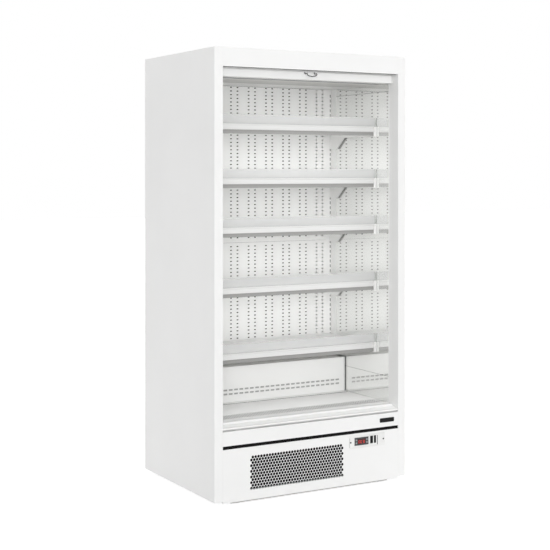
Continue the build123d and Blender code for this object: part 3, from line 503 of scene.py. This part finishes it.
WHITE = (0.83, 0.83, 0.825)
# The lining is lighter than the outer white: partly its own colour, partly painted light for the cabinet's
# inside
LINING_WITH_PAINTED_LIGHT = (0.945, 0.945, 0.935)
MATERIALS = {
    "white_sheet": powder_coat("white_powder_coat", WHITE),
    "white_lining": powder_coat("white_lining", LINING_WITH_PAINTED_LIGHT),
    # The brackets' dark down-facing outer edge is painted shade
    "bracket_sheet_painted_shade": sheet_with_painted_shade_edge("bracket_sheet_painted_shade", LINING_WITH_PAINTED_LIGHT, (0.03, 0.03, 0.03)),
    # Grey coat; on the front ceiling and on the coil guard its grey is painted shade
    "grey_sheet": powder_coat("grey_powder_coat", (0.51, 0.505, 0.485)),
    "black_sheet": powder_coat("black_powder_coat", (0.02, 0.02, 0.02), low=0.4, high=0.5),
    "mirror_steel": polished_lining("polished_lining", (0.905, 0.91, 0.90)),
    "galvanised": galvanised("galvanised_sheet"),
    "rail_aluminium": brushed(
        "anodised_rail", (0.56, 0.56, 0.555), (4, 700, 700), low=0.30, high=0.36, metallic=0.2, contrast=0.02
    ),
    "riser_glass": clear_riser("clear_riser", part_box("glass_risers")[1].x),
    "lamp_plastic": moulded("opal_diffuser", (0.9, 0.9, 0.88), 0.3, 0.4),
    "white_plastic": moulded("white_moulding", (0.82, 0.82, 0.81), 0.42, 0.52),
    "grey_plastic": moulded("grey_key", (0.30, 0.31, 0.32), 0.45, 0.55),
    "black_plastic": moulded("black_moulding", (0.008, 0.008, 0.008), 0.3, 0.45, shine=0.15),
    "charcoal": moulded("charcoal_moulding", (0.045, 0.046, 0.048), 0.3, 0.45),
    "display_red": moulded("dark_window", (0.05, 0.008, 0.008), 0.08, 0.14, grain=0.000005),
    "blind_fabric": woven("blind_cloth", (0.62, 0.63, 0.64)),
    "coil_aluminium": finned("plate_fins", (0.5, 0.5, 0.5), (0.85, 0.86, 0.86), metallic=0.2),
    "black_fins": finned("black_plate_fins", (0.004, 0.004, 0.004), (0.03, 0.03, 0.032)),
    "black_iron": powder_coat("black_enamel", (0.015, 0.015, 0.015), low=0.25, high=0.4),
    "seal_rubber": moulded("black_rubber", (0.006, 0.006, 0.006), 0.6, 0.75, shine=0.1),
    "chrome_wire": brushed("plated_wire", (0.09, 0.09, 0.092), (300, 40, 300), low=0.25, high=0.35),
}

# Nodes whose look differs a little from their record slot; the interior's lighter white lining is partly
# painted light
LINED = ["ceiling_rear", "uprights", "deck_panel", "rear_wall", "blind_bottom_rail"]
LINED += [f"shelf_tray_{number}" for number in range(1, 6)]
LOOKS = dict.fromkeys(LINED, "white_lining")
# The front ceiling's grey look is painted shade
LOOKS |= {"controller_housing": "charcoal", "shelf_brackets": "bracket_sheet_painted_shade", "ceiling_front": "grey_sheet"}


def dress_cad_nodes():
    """Gives every carried-over CAD node the material of its record slot."""
    slots = {part["node"]: part["material_slot"] for part in frame["record"]["subparts"]}
    for name, obj in frame["nodes"].items():
        for material_slot in obj.material_slots:
            material_slot.link = "OBJECT"
            material_slot.material = MATERIALS[LOOKS.get(name, slots[name])]


def slot_piece(name, meshes, slot, body="cabinet", stands_for=()):
    """Piece in the plain material of its record slot."""
    return piece(name, meshes, MATERIALS[slot], body, stands_for)


def white_lining(name, meshes, stands_for=()):
    """Piece of white lining sheet that stays with the cabinet."""
    return piece(name, meshes, MATERIALS["white_lining"], stands_for=stands_for)


def rubber(name, meshes, edge):
    """Black rubber, foam or sealant piece with soft edges, which stays with the cabinet."""
    return bevelled(slot_piece(name, meshes, "seal_rubber"), edge)


# ---------------------------------------------------------------- linings, shelves, deck and service panel
def back_lining(node):
    """Back sheet with pairs of columns of air slots, and its side flanges."""
    low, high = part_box(node)
    rows = int((high.z - low.z - 2 * SLOT_PITCH) / SLOT_PITCH) + 1
    first = (low.z + high.z) / 2 - (rows - 1) * SLOT_PITCH / 2
    if high.z + SLOT_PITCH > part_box("ceiling_rear")[0].z:
        rows += 1  # one row more, close under the ceiling
    columns = []
    for pair in range(-SLOT_PAIRS_PER_SIDE, SLOT_PAIRS_PER_SIDE + 1):
        for side in (-1, 1):
            columns.append(pair * SLOT_PAIR_PITCH + side * SLOT_PAIR_WIDTH / 2)
    width, height = SLOT_SIZE
    heights = [first + row * SLOT_PITCH for row in range(rows)]
    face = slotted_sheet(
        span_edges(low.x, high.x, columns, width),
        span_edges(low.z, high.z, heights, height),
        SHEET,
        facing_front(low.y + SHEET / 2),
    )
    flanges = [
        block((low.x, low.y + SHEET, low.z), (low.x + SHEET, high.y, high.z)),
        block((high.x - SHEET, low.y + SHEET, low.z), (high.x, high.y, high.z)),
    ]
    return white_lining(node.replace("panel", "lining"), [face, *flanges], [node])


def painted_shade_liners():
    """Black sheet behind the air slots of the back lining, and dark grey sheets in the wells under the
    grilles: painted shade behind the slots.
    """
    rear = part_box("rear_wall")[0].y
    low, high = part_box("back_panel_lower")
    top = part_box("back_panel_upper")[1].z + 14 * MM
    # Black sheet as painted shade behind the slots
    behind = block((low.x, rear - 4 * MM, low.z + 15 * MM), (high.x, rear - 0.5 * MM, top))
    rubber("duct_painted_shade_liner", [behind], 1 * MM)
    low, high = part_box("return_grille")
    margin = 1 * MM
    inset = 4 * MM
    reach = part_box("deck_panel")[1].x - margin
    near, far = low.y + 2 * MM, high.y - 2 * MM
    bottom, top = low.z + 0.5 * MM, low.z + 4 * MM
    wells = []
    for left, right in (
        (-reach, low.x - margin),
        (low.x + inset, high.x - inset),
        (high.x + margin, reach),
    ):
        wells.append(block((left, near, bottom), (right, far, top)))
    # Dark grey as painted shade in the wells
    grey = foam("grey_foam_painted_shade", (0.12, 0.12, 0.116))
    bevelled(piece("grille_well_painted_shade_liner", wells, grey), 1 * MM)


def upright_painted_shade_liners():
    """Black sheet inside the two slotted uprights, clear of the bracket hooks: painted shade for their slots.
    """
    low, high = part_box("uprights")
    width = 27 * MM
    inset = 2 * MM
    near, far = low.y + 5.4 * MM, low.y + 11 * MM
    bottom, top = low.z + 4 * MM, high.z - 4 * MM
    meshes = []
    for left in (low.x + inset, high.x - inset - width):
        meshes.append(block((left, near, bottom), (left + width, far, top)))
    # Black sheets as painted shade inside the uprights
    rubber("upright_painted_shade_liners", meshes, 1 * MM)


def lining_joints():
    """Thin dark sealant in the level joints between the polished lining sheets."""
    node = frame["nodes"]["side_mirrors"]
    low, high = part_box("side_mirrors")
    levels = sorted({round((node.matrix_world @ vertex.co).z, 4) for vertex in node.data.vertices})
    near, far = low.y + 4 * MM, high.y - 2 * MM
    depth = 2 * MM
    meshes = []
    for below, above in zip(levels[1:-1:2], levels[2:-1:2]):
        bottom = (below + above - JOINT_HEIGHT) / 2
        for left in (low.x + TOUCH, high.x - TOUCH - depth):
            meshes.append(block((left, near, bottom), (left + depth, far, bottom + JOINT_HEIGHT)))
    rubber("lining_joints", meshes, 0.3 * MM)


def corner_strips():
    """Plain white strips that cover the rear ends of the polished linings, above the fan cover."""
    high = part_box("side_mirrors")[1]
    near, far = high.y - STRIP_WIDTH, high.y - 0.5 * MM
    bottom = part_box("fan_cover")[1].z + 4 * MM
    thickness = 1.4 * MM
    meshes = []
    for left in (-WALL + TOUCH, WALL - TOUCH - thickness):
        meshes.append(block((left, near, bottom), (left + thickness, far, high.z)))
    bevelled(white_lining("corner_strips", meshes), 0.5 * MM)


def blind_guides():
    """Moulded guides beside the two ends of the blind's rail when it is up."""
    low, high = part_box("blind_bottom_rail")
    play = 0.8 * MM
    near, far = low.y - 0.5 * MM, high.y + 4 * MM
    meshes = []
    for left, right in ((-WALL + TOUCH, low.x - play), (high.x + play, WALL - TOUCH)):
        meshes.append(block((left, near, low.z), (right, far, high.z)))
    bevelled(slot_piece("blind_guides", meshes, "white_plastic"), 0.6 * MM)


def tray_skirts():
    """Folded skirt under the front lip of each shelf tray, behind its ticket rail; its dark grey is painted
    shade.
    """
    meshes = []
    for number in range(1, 6):
        low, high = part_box(f"shelf_tray_{number}")
        bottom = low.z - SKIRT_DROP
        meshes.append(block((low.x, low.y + TOUCH, bottom), (high.x, low.y + SHEET, low.z)))
        meshes.append(block((low.x, low.y + SHEET, bottom), (high.x, low.y + SKIRT_FOLD, bottom + SHEET)))
    # Dark grey standing in for the shade under the rail: painted shade
    grey = powder_coat("grey_skirt_painted_shade", (0.24, 0.24, 0.232))
    bevelled(piece("tray_skirts", meshes, grey), 0.5 * MM)


def coil_guard_painted_shade():
    """Grey sheet that stands on the fan plate between the duct's mouth and the coil; its grey is painted
    shade for the duct's mouth.
    """
    low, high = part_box("fan_cover")
    left, right = low.x + 4 * MM, high.x - 4 * MM
    near = high.y + 2 * MM
    top = high.z + 30 * MM
    upright = block((left, near, high.z + 0.3 * MM), (right, near + SHEET, top))
    fold = block((left, near, top), (right, near + 8 * MM, top + SHEET))
    # Grey sheet as painted shade in the duct's mouth
    bevelled(slot_piece("coil_guard_painted_shade", [upright, fold], "grey_sheet"), 0.5 * MM)


def foot_painted_shade_bead():
    """Thin grey bead along the front edge of the fan cover's foot: painted shade for the dark line under that
    edge.
    """
    low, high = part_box("fan_cover")
    width = height = 1.5 * MM
    bottom = low.z - 0.1 * MM
    # Grey bead as painted shade along the foot's edge
    bead = block((low.x, low.y - width, bottom), (high.x, low.y + TOUCH, bottom + height))
    grey = foam("grey_painted_shade_bead", (0.20, 0.20, 0.195))
    bevelled(piece("foot_painted_shade_bead", [bead], grey), 0.5 * MM)


def cover_holes(foot):
    """Outlines of the fan cover's slots, in rows above its foot."""
    half_width, half_height = COVER_SLOT[0] / 2, COVER_SLOT[1] / 2
    holes = []
    for rise in COVER_ROWS:
        z = foot + rise
        for number in range(COVER_SLOTS):
            x = (number - (COVER_SLOTS - 1) / 2) * COVER_PITCH
            corners = (x - half_width, z - half_height, x + half_width, z + half_height)
            holes.append(rounded(*corners, half_height * 0.6, 3))
    return holes


def slotted_fan_cover():
    """Fan cover with two rows of slots, the screen behind them, its end seals, foot and top flange."""
    low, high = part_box("fan_cover")
    face_y = low.y + COVER_FOOT
    outline = rectangle(low.x, low.z, high.x, high.z)
    face = flat_sheet(outline, cover_holes(low.z), SHEET, facing_front(face_y + SHEET / 2))
    inset = 18 * MM
    margin = 12 * MM
    screen_y = face_y + 5 * MM
    screen = block(
        (low.x + inset, screen_y, low.z + COVER_ROWS[0] - margin),
        (high.x - inset, screen_y + SHEET, low.z + COVER_ROWS[1] + margin),
    )
    pale = foam("pale_screen", (0.56, 0.56, 0.55))
    bevelled(piece("slot_screen", [screen], pale), 0.4 * MM)
    seals = []
    for left, right in ((low.x - COVER_SEAL, low.x), (high.x, high.x + COVER_SEAL)):
        seals.append(block((left, face_y, low.z + SHEET), (right, face_y + 2 * SHEET, high.z)))
    bevelled(slot_piece("cover_end_seals", seals, "white_plastic"), 0.6 * MM)
    foot = block((low.x, low.y, low.z), (high.x, face_y, low.z + SHEET))
    flange = block((low.x, face_y + SHEET, high.z - SHEET), (high.x, high.y, high.z))
    return white_lining("slotted_fan_cover", [face, foot, flange], ["fan_cover"])


def slanted_bars(left, right, near, far, top):
    """Slanted bars of a grille, cut off square at the two ends of its opening."""
    shift = (far - near) * GRILLE_SLOPE
    middle = Matrix.Translation((0, 0, top - SHEET / 2))
    meshes = []
    first = math.floor((left - shift) / GRILLE_PITCH)
    last = math.ceil(right / GRILLE_PITCH)
    for number in range(first, last + 1):
        x = number * GRILLE_PITCH
        bar = [(x, near), (x + GRILLE_BAR, near), (x + GRILLE_BAR + shift, far), (x + shift, far)]
        bar = cut_outline(bar, left, right)
        if bar:
            meshes.append(flat_sheet(bar, [], SHEET, middle))
    return meshes


def cut_outline(outline, left, right):
    """Part of a convex outline that lies between two upright lines."""
    for edge, side in ((left, 1), (right, -1)):
        kept = []
        for (x, y), (next_x, next_y) in zip(outline, outline[1:] + outline[:1]):
            inside, next_inside = side * (x - edge) > 0, side * (next_x - edge) > 0
            if inside:
                kept.append((x, y))
            if inside != next_inside:
                kept.append((edge, y + (next_y - y) * (edge - x) / (next_x - x)))
        outline = kept
    return outline


def slanted_return_grille():
    """Deck grille with slanted bars, its side flanges, and the narrow end grilles beside it."""
    low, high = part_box("return_grille")
    near, far = low.y + GRILLE_EDGE, high.y - GRILLE_EDGE
    middle = Matrix.Translation((0, 0, high.z - SHEET / 2))
    deck_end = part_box("deck_panel")[1].x
    gap = 0.4 * MM
    border = 1.5 * MM
    grille, ends = [], []
    for meshes, left, right in (
        (grille, low.x, high.x),
        (ends, -deck_end, low.x - gap),
        (ends, high.x + gap, deck_end),
    ):
        opening = rectangle(left + border, near, right - border, far)
        meshes.append(flat_sheet(rectangle(left, low.y, right, high.y), [opening], SHEET, middle))
        meshes += slanted_bars(left + border, right - border, near, far, high.z)
    for left in (low.x, high.x - SHEET):
        grille.append(block((left, low.y, low.z), (left + SHEET, high.y, high.z - SHEET)))
    white_lining("grille_ends", ends)
    return white_lining("slanted_return_grille", grille, ["return_grille"])


def ribbed_ledge():
    """Front ledge as one folded profile: a straight slope in fine steps, and a short nose."""
    low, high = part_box("front_ledge")
    run = (high.y - low.y) / LEDGE_TREADS
    fall = (high.z - low.z - LEDGE_NOSE) / LEDGE_TREADS
    riser_run = 0.6 * MM
    top = [(high.y, high.z)]
    for _ in range(LEDGE_TREADS):
        y, z = top[-1]
        top += [(y - run + riser_run, z - fall + LEDGE_STEP), (y - run, z - fall)]
    under = [(y + SHEET, z - SHEET) for y, z in reversed(top[1:-1])]
    outline = top + [(low.y, low.z), (low.y + SHEET, low.z)] + under + [(high.y, high.z - SHEET)]
    along_x = Matrix(((0, 0, 1, 0), (1, 0, 0, 0), (0, 1, 0, 0), (0, 0, 0, 1)))
    sheet = flat_sheet(outline, [], high.x - low.x, along_x)
    return white_lining("ribbed_ledge", [sheet], ["front_ledge"])


def strip_lip_painted_shade():
    """Soft black lip of the strip under the sill, which laps the service panel's upper edge and widens the
    dark line of the gap there: painted shade.
    """
    low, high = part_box("service_panel")
    # Black lip as painted shade along the gap
    lip = block((low.x, low.y - 0.7 * MM, high.z - 2.2 * MM), (high.x, low.y, high.z + 0.5 * MM))
    rubber("strip_lip_painted_shade", [lip], 0.3 * MM)


def perforated_service_panel():
    """Service panel with round holes in staggered rows and the opening for the control plate."""
    low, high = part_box("service_panel")
    plate_low, plate_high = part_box("control_plate")
    left, right = plate_low.x + PLATE_FLANGE, plate_high.x - PLATE_FLANGE
    holes = [rounded(left, plate_low.z + PLATE_FLANGE, right, plate_high.z, 4 * MM)]
    for row in range(HOLE_ROWS):
        wide = row % 2
        z = high.z - HOLE_DROP - row * HOLE_ROW_PITCH
        for column in range(HOLE_COLUMNS + wide):
            x = HOLE_LEFT - wide * HOLE_PITCH / 2 + column * HOLE_PITCH
            holes.append(circle(x, z, HOLE_RADIUS, HOLE_SIDES))
    outline = rectangle(low.x, low.z, high.x, high.z)
    face = flat_sheet(outline, holes, SHEET / 2, facing_front(low.y + SHEET / 4))
    returns = [
        block((low.x, low.y + SHEET, low.z), (high.x, high.y, low.z + SHEET)),
        block((low.x, low.y + SHEET, high.z - SHEET), (high.x, high.y, high.z)),
    ]
    sheets = [face, *returns]
    return slot_piece("perforated_service_panel", sheets, "white_sheet", stands_for=["service_panel"])


def painted_shade_mat():
    """Black foam behind the round holes, down to the row in front of the base tray's upstand: painted shade
    that makes the holes dark.
    """
    low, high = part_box("service_panel")
    left, right = HOLE_LEFT - HOLE_PITCH, HOLE_LEFT + (HOLE_COLUMNS + 0.5) * HOLE_PITCH
    bottom, top = low.z + 46 * MM, high.z - HOLE_DROP + 0.8 * HOLE_ROW_PITCH
    mat = block((left, low.y + 2 * MM, bottom), (right, low.y + 5 * MM, top))
    # Black as painted shade behind the holes
    black = foam("black_painted_shade_foam", (0.006, 0.006, 0.006))
    bevelled(piece("painted_shade_mat", [mat], black), 1 * MM)


# ---------------------------------------------------------------- night blind
def wire(name, points, radius, material):
    """Round wire through straight runs with bent corners."""
    curve = bpy.data.curves.new(name, "CURVE")
    curve.dimensions = "3D"
    curve.bevel_depth = radius
    curve.bevel_resolution = 4
    curve.use_fill_caps = True
    spline = curve.splines.new("BEZIER")
    spline.bezier_points.add(len(points) - 1)
    for knot, point in zip(spline.bezier_points, points):
        knot.co = point
        knot.handle_left_type = knot.handle_right_type = "AUTO"
    obj = link(bpy.data.objects.new(name, curve))
    curve.materials.append(material)
    return obj


def bent_pull():
    """Bent-wire pull on the blind's rail: two arms come forward and meet in a shallow V with a soft tip."""
    low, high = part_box("pull_handle")
    radius = 2.0 * MM
    bend = 2.5 * MM
    soft_bend = 1.5 * MM
    side = high.x - radius
    front = low.y + radius
    top = high.z - radius
    arm = high.z - 9 * MM
    knee = high.z - 15 * MM
    face = high.y - radius
    half = [
        (side, face, top),
        (side, face, arm + bend),
        (side, face - bend, arm),
        (side, front + bend, arm),
        (side, front, arm - bend),
        (side, front, knee + soft_bend),
        (side * 0.9, front, knee - soft_bend),
        (side * 0.15, front, low.z + radius + 0.5 * MM),
    ]
    tip = [(0, front, low.z + radius)]
    points = half + tip + [(-x, y, z) for x, y, z in reversed(half)]
    pull = wire("bent_wire_pull", points, radius, MATERIALS["chrome_wire"])
    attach(pull, "blind")
    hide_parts("pull_handle")
    return pull


def rail_end_caps():
    """Moulded caps on the two ends of the blind's rail."""
    low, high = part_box("blind_bottom_rail")
    length = 7 * MM
    skin = 0.3 * MM
    caps = []
    for side in (-1, 1):
        left, right = sorted((side * high.x, side * (high.x - length)))
        caps.append(block((left, low.y - skin, low.z - skin), (right, high.y + skin, high.z + skin)))
    return bevelled(slot_piece("rail_end_caps", caps, "white_plastic", "blind"), 0.6 * MM)


def fascia_painted_shade_strip():
    """Flat black strip under the fascia's lower edge, set back from its front: painted shade for the gap
    there.
    """
    low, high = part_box("top_fascia")
    left, right = low.x + 1 * MM, high.x - 1 * MM
    # Black strip as painted shade in the gap under the fascia
    seal = block((left, low.y + 7 * MM, low.z - 0.8 * MM), (right, high.y - 1 * MM, low.z - 0.05 * MM))
    return rubber("fascia_painted_shade_strip", [seal], 0.3 * MM)


def rail_lip():
    """Upright lip along the front of the rail's top, which narrows the gap under the fascia."""
    low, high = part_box("blind_bottom_rail")
    lip = block((low.x, low.y, high.z - 0.5 * MM), (high.x, low.y + SHEET, high.z + 3.2 * MM))
    return bevelled(piece("rail_lip", [lip], MATERIALS["white_lining"], "blind"), 0.4 * MM)


def cloth_strip():
    """The cloth between roller and rail, as one flat grid of faces in its middle plane."""
    low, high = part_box("blind_cloth")
    columns, rows = 44, 60
    middle = (low.y + high.y) / 2
    vertices, faces = [], []
    for row in range(rows + 1):
        z = high.z + (low.z - high.z) * row / rows
        for column in range(columns + 1):
            vertices.append((low.x + (high.x - low.x) * column / columns, middle, z))
    for row in range(rows):
        for column in range(columns):
            corner = row * (columns + 1) + column
            faces.append((corner, corner + 1, corner + columns + 2, corner + columns + 1))
    mesh = bpy.data.meshes.new("night_blind_cloth")
    mesh.from_pydata(vertices, [], faces)
    mesh.materials.append(MATERIALS["blind_fabric"])
    strip = link(bpy.data.objects.new("night_blind_cloth", mesh))
    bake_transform(strip)
    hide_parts("blind_cloth")
    return strip


# ---------------------------------------------------------------- controls
def segment_digit(left, low, height, lit, y):
    """Seven-segment numeral from its lit segments, named a to g."""
    width = height * 0.55
    bar = height * 0.13
    gap = bar * 0.2
    half = height / 2
    across = {"a": height, "g": half, "d": 0}
    upright = {"f": (0, half), "b": (width, half), "e": (0, 0), "c": (width, 0)}
    meshes = []
    for segment in lit:
        if segment in across:
            v = low + across[segment]
            loop = [(left + gap, v), (left + bar, v + bar / 2), (left + width - bar, v + bar / 2)]
            loop += [(left + width - gap, v), (left + width - bar, v - bar / 2), (left + bar, v - bar / 2)]
        else:
            du, dv = upright[segment]
            u, v = left + du, low + dv
            loop = [(u, v + gap), (u + bar / 2, v + bar), (u + bar / 2, v + half - bar)]
            loop += [(u, v + half - gap), (u - bar / 2, v + half - bar), (u - bar / 2, v + bar)]
        meshes.append(flat_sheet(loop, [], 0.2 * MM, facing_front(y)))
    return meshes


def temperature_display():
    """Three red numerals on the display window."""
    low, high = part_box("display_window")
    y = low.y - 0.1 * MM
    base = (low.z + high.z - DIGIT_HEIGHT) / 2 - 2 * MM
    centre = (low.x + high.x) / 2
    meshes = []
    for shift, lit in DIGITS:
        meshes += segment_digit(centre + shift, base, DIGIT_HEIGHT, lit, y)
    return piece("display_numerals", meshes, lit_segment("lit_segment"))


def control_cuts():
    """Openings of the control plate for the controller and the two rockers."""
    low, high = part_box("controller_housing")
    rim = 2.5 * MM
    cuts = [rectangle(low.x + rim, low.z + rim, high.x - rim, high.z - rim)]
    low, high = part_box("switch_frames")
    bottom, top = low.z + 1 * MM, high.z - 1 * MM
    for rocker in ("rocker_power", "rocker_light"):
        low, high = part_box(rocker)
        cuts.append(rectangle(low.x - TOUCH, bottom, high.x + TOUCH, top))
    return cuts


def control_face():
    """Control plate with rounded corners, its recessed insert with black strips at both ends as painted shade
    in the gaps, and openings.
    """
    low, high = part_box("control_plate")
    front = low.y
    left, right = low.x + PLATE_FLANGE, high.x - PLATE_FLANGE
    bottom, top = low.z + PLATE_FLANGE, high.z
    play = 0.4 * MM
    outline = rounded(left + play, bottom + play, right - play, top - play, 4 * MM)
    start, end = left + INSERT_LEFT, right - INSERT_RIGHT
    foot, head = bottom + INSERT_FOOT, top - INSERT_TOP
    opening = rounded(start, foot, end, head, 3 * MM)
    frame_sheet = flat_sheet(outline, [opening], SHEET * 0.8, facing_front(front + SHEET * 0.4))
    slack = 0.8 * MM
    wide_slack = 2 * MM
    insert = rounded(start + slack, foot + slack, end - wide_slack, head - slack, 2.5 * MM)
    cuts = control_cuts()
    insert_sheet = flat_sheet(insert, cuts, SHEET * 0.6, facing_front(front + 0.5 * MM + SHEET * 0.3))
    near, far = front + 0.1 * MM, front + 0.9 * MM
    corner = 2 * MM
    # Black strips as painted shade in the gaps at both ends of the insert
    joints = []
    for x, width in ((start, 1.2 * MM), (end - 2.7 * MM, 2.6 * MM)):
        joints.append(block((x, near, foot + corner), (x + width, far, head - corner)))
    rubber("insert_painted_shade_strips", joints, 0.2 * MM)
    whole = rectangle(low.x, low.z, high.x, high.z)
    backing = flat_sheet(whole, cuts, SHEET, facing_front(front + SHEET * 1.5))
    sheets = [frame_sheet, insert_sheet, backing]
    return slot_piece("control_face", sheets, "white_plastic", stands_for=["control_plate"])


def cover_screws():
    """Two round-headed screws that hold the control plate."""
    low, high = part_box("control_plate")
    z = (low.z + PLATE_FLANGE + high.z) / 2
    rings = ((3.8, 0.0), (3.8, -0.5), (3.2, -0.9), (2.1, -1.15), (1.0, -1.2))
    meshes = [turned(x, low.y, z, rings, 20) for x in SCREWS]
    return slot_piece("cover_screws", meshes, "black_iron")


def turned(x, y, z, rings, sides):
    """Closed turned form along Y from (radius, depth) rings in mm, on a flat base."""
    vertices, faces = [], []
    for radius, depth in rings:
        vertices += [(u, y + depth * MM, v) for u, v in circle(x, z, radius * MM, sides)]
    for ring in range(len(rings) - 1):
        for step in range(sides):
            after = (step + 1) % sides
            start, end = ring * sides, (ring + 1) * sides
            faces.append((start + step, end + step, end + after, start + after))
    faces.append(list(range(sides)))
    faces.append([len(vertices) - 1 - step for step in range(sides)])
    mesh = bpy.data.meshes.new("turned")
    mesh.from_pydata(vertices, [], faces)
    return mesh


def blank_plaque():
    """Plain dark plaque with rounded ends at the right of the sill."""
    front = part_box("sill_fascia")[0].y
    thickness = 1.2 * MM
    outline = rounded(PLAQUE[0], PLAQUE_HEIGHT - PLAQUE_HALF, PLAQUE[1], PLAQUE_HEIGHT + PLAQUE_HALF, 4 * MM)
    body = flat_sheet(outline, [], thickness, facing_front(front - thickness / 2))
    return bevelled(slot_piece("blank_plaque", [body], "black_plastic"), 0.3 * MM)


# ---------------------------------------------------------------- stage, lights, camera
def light_mix(nodes, links, lit, seen):
    """One shader for the light that reaches the object, another for what camera, metal and glass see."""
    path = nodes.new("ShaderNodeLightPath")
    seeing = path.outputs["Is Camera Ray"]
    for kind in ("Is Glossy Ray", "Is Transmission Ray"):
        either = nodes.new("ShaderNodeMath")
        either.operation = "MAXIMUM"
        links.new(seeing, either.inputs[0])
        links.new(path.outputs[kind], either.inputs[1])
        seeing = either.outputs["Value"]
    mix = nodes.new("ShaderNodeMixShader")
    links.new(seeing, mix.inputs["Fac"])
    links.new(lit, mix.inputs[1])
    links.new(seen, mix.inputs[2])
    return mix.outputs["Shader"]


def white_world():
    """White studio air: weak as a light, full white where it is seen."""
    world = bpy.data.worlds.new("studio")
    world.use_nodes = True
    bpy.context.scene.world = world
    nodes, links = world.node_tree.nodes, world.node_tree.links
    lit = nodes["Background"]
    lit.inputs["Color"].default_value = (1, 1, 1, 1)
    lit.inputs["Strength"].default_value = 0.40
    seen = nodes.new("ShaderNodeBackground")
    seen.inputs["Color"].default_value = (1, 1, 1, 1)
    seen.inputs["Strength"].default_value = 1.0
    output = nodes["World Output"]
    links.new(light_mix(nodes, links, lit.outputs[0], seen.outputs[0]), output.inputs["Surface"])


def white_floor():
    """Pale floor that keeps the cabinet's soft shadow, 30 m to each side."""
    size = 30
    mesh = bpy.data.meshes.new("studio_floor")
    mesh.from_pydata([(x, y, 0) for x, y in rectangle(-size, -size, size, size)], [], [(0, 1, 2, 3)])
    material = bpy.data.materials.new("studio_floor")
    material.use_nodes = True
    nodes, links = material.node_tree.nodes, material.node_tree.links
    base = nodes["Principled BSDF"]
    base.inputs["Base Color"].default_value = (0.9, 0.9, 0.9, 1)
    base.inputs["Roughness"].default_value = 0.9
    glow = nodes.new("ShaderNodeEmission")
    glow.inputs["Strength"].default_value = 0.80
    faint = nodes.new("ShaderNodeBsdfDiffuse")
    faint.inputs["Color"].default_value = (0.5, 0.5, 0.5, 1)
    total = nodes.new("ShaderNodeAddShader")
    links.new(glow.outputs[0], total.inputs[0])
    links.new(faint.outputs[0], total.inputs[1])
    output = nodes["Material Output"]
    links.new(light_mix(nodes, links, base.outputs[0], total.outputs[0]), output.inputs["Surface"])
    mesh.materials.append(material)
    link(bpy.data.objects.new("studio_floor", mesh))


def soft_sun(name, azimuth, elevation, spread, strength):
    """Even light from one side: azimuth from the front towards the left, all angles in degrees."""
    lamp = bpy.data.lights.new(name, "SUN")
    lamp.angle = math.radians(spread)
    lamp.energy = strength
    obj = link(bpy.data.objects.new(name, lamp))
    turn, rise = math.radians(azimuth), math.radians(elevation)
    source = Vector((-math.sin(turn) * math.cos(rise), -math.cos(turn) * math.cos(rise), math.sin(rise)))
    obj.rotation_euler = source.to_track_quat("Z", "Y").to_euler()
    distance = 6
    obj.location = source * distance
    obj.visible_glossy = False


def opening_fill(name, share, middle, strength):
    """Faint light that enters through the front opening, over a share of its height round a middle."""
    low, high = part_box("side_mirrors")
    inset = 30 * MM
    depth = 62 * MM
    lamp = bpy.data.lights.new(name, "AREA")
    lamp.shape = "RECTANGLE"
    lamp.size = high.x - low.x - 2 * inset
    lamp.size_y = (high.z - low.z) * share
    lamp.energy = strength
    obj = link(bpy.data.objects.new(name, lamp))
    obj.location = ((low.x + high.x) / 2, FRONT + depth, low.z + (high.z - low.z) * middle)
    obj.rotation_euler = (math.radians(90), 0, 0)
    obj.visible_camera = obj.visible_glossy = obj.visible_transmission = False


def photo_camera():
    """The photograph's camera: level, with the lens shifted up."""
    lens = bpy.data.cameras.new("photo_camera")
    lens.sensor_width = SENSOR
    lens.lens = PHOTO_FOCAL / PHOTO_SIZE * SENSOR
    lens.shift_y = (PHOTO_HORIZON - PHOTO_SIZE / 2) / PHOTO_SIZE
    camera = link(bpy.data.objects.new("photo_camera", lens))
    camera.location = CAMERA_FROM_FRONT + Vector((0, FRONT, BASE))
    camera.rotation_euler = (math.radians(90), 0, -CAMERA_TURN)
    bpy.context.scene.camera = camera


# ---------------------------------------------------------------- scene
dress_cad_nodes()
back_lining("back_panel_upper")
back_lining("back_panel_lower")
slotted_fan_cover()
foot_painted_shade_bead()
slanted_return_grille()
painted_shade_liners()
upright_painted_shade_liners()
lining_joints()
coil_guard_painted_shade()
tray_skirts()
corner_strips()
blind_guides()
perforated_service_panel()
strip_lip_painted_shade()
ribbed_ledge()
painted_shade_mat()
bent_pull()
rail_end_caps()
rail_lip()
fascia_painted_shade_strip()
cloth_strip()
control_face()
cover_screws()
temperature_display()
blank_plaque()

white_world()
white_floor()
soft_sun("front_key", azimuth=23, elevation=5, spread=28, strength=1.45)
soft_sun("top_key", azimuth=10, elevation=55, spread=40, strength=0.9)
soft_sun("left_key", azimuth=75, elevation=15, spread=50, strength=0.4)
soft_sun("rear_fill", azimuth=200, elevation=25, spread=60, strength=1.1)
opening_fill("opening_fill", share=0.84, middle=0.57, strength=1.9)
opening_fill("upper_fill", share=0.40, middle=0.78, strength=1.25)
photo_camera()
bpy.context.scene.view_settings.view_transform = "Standard"
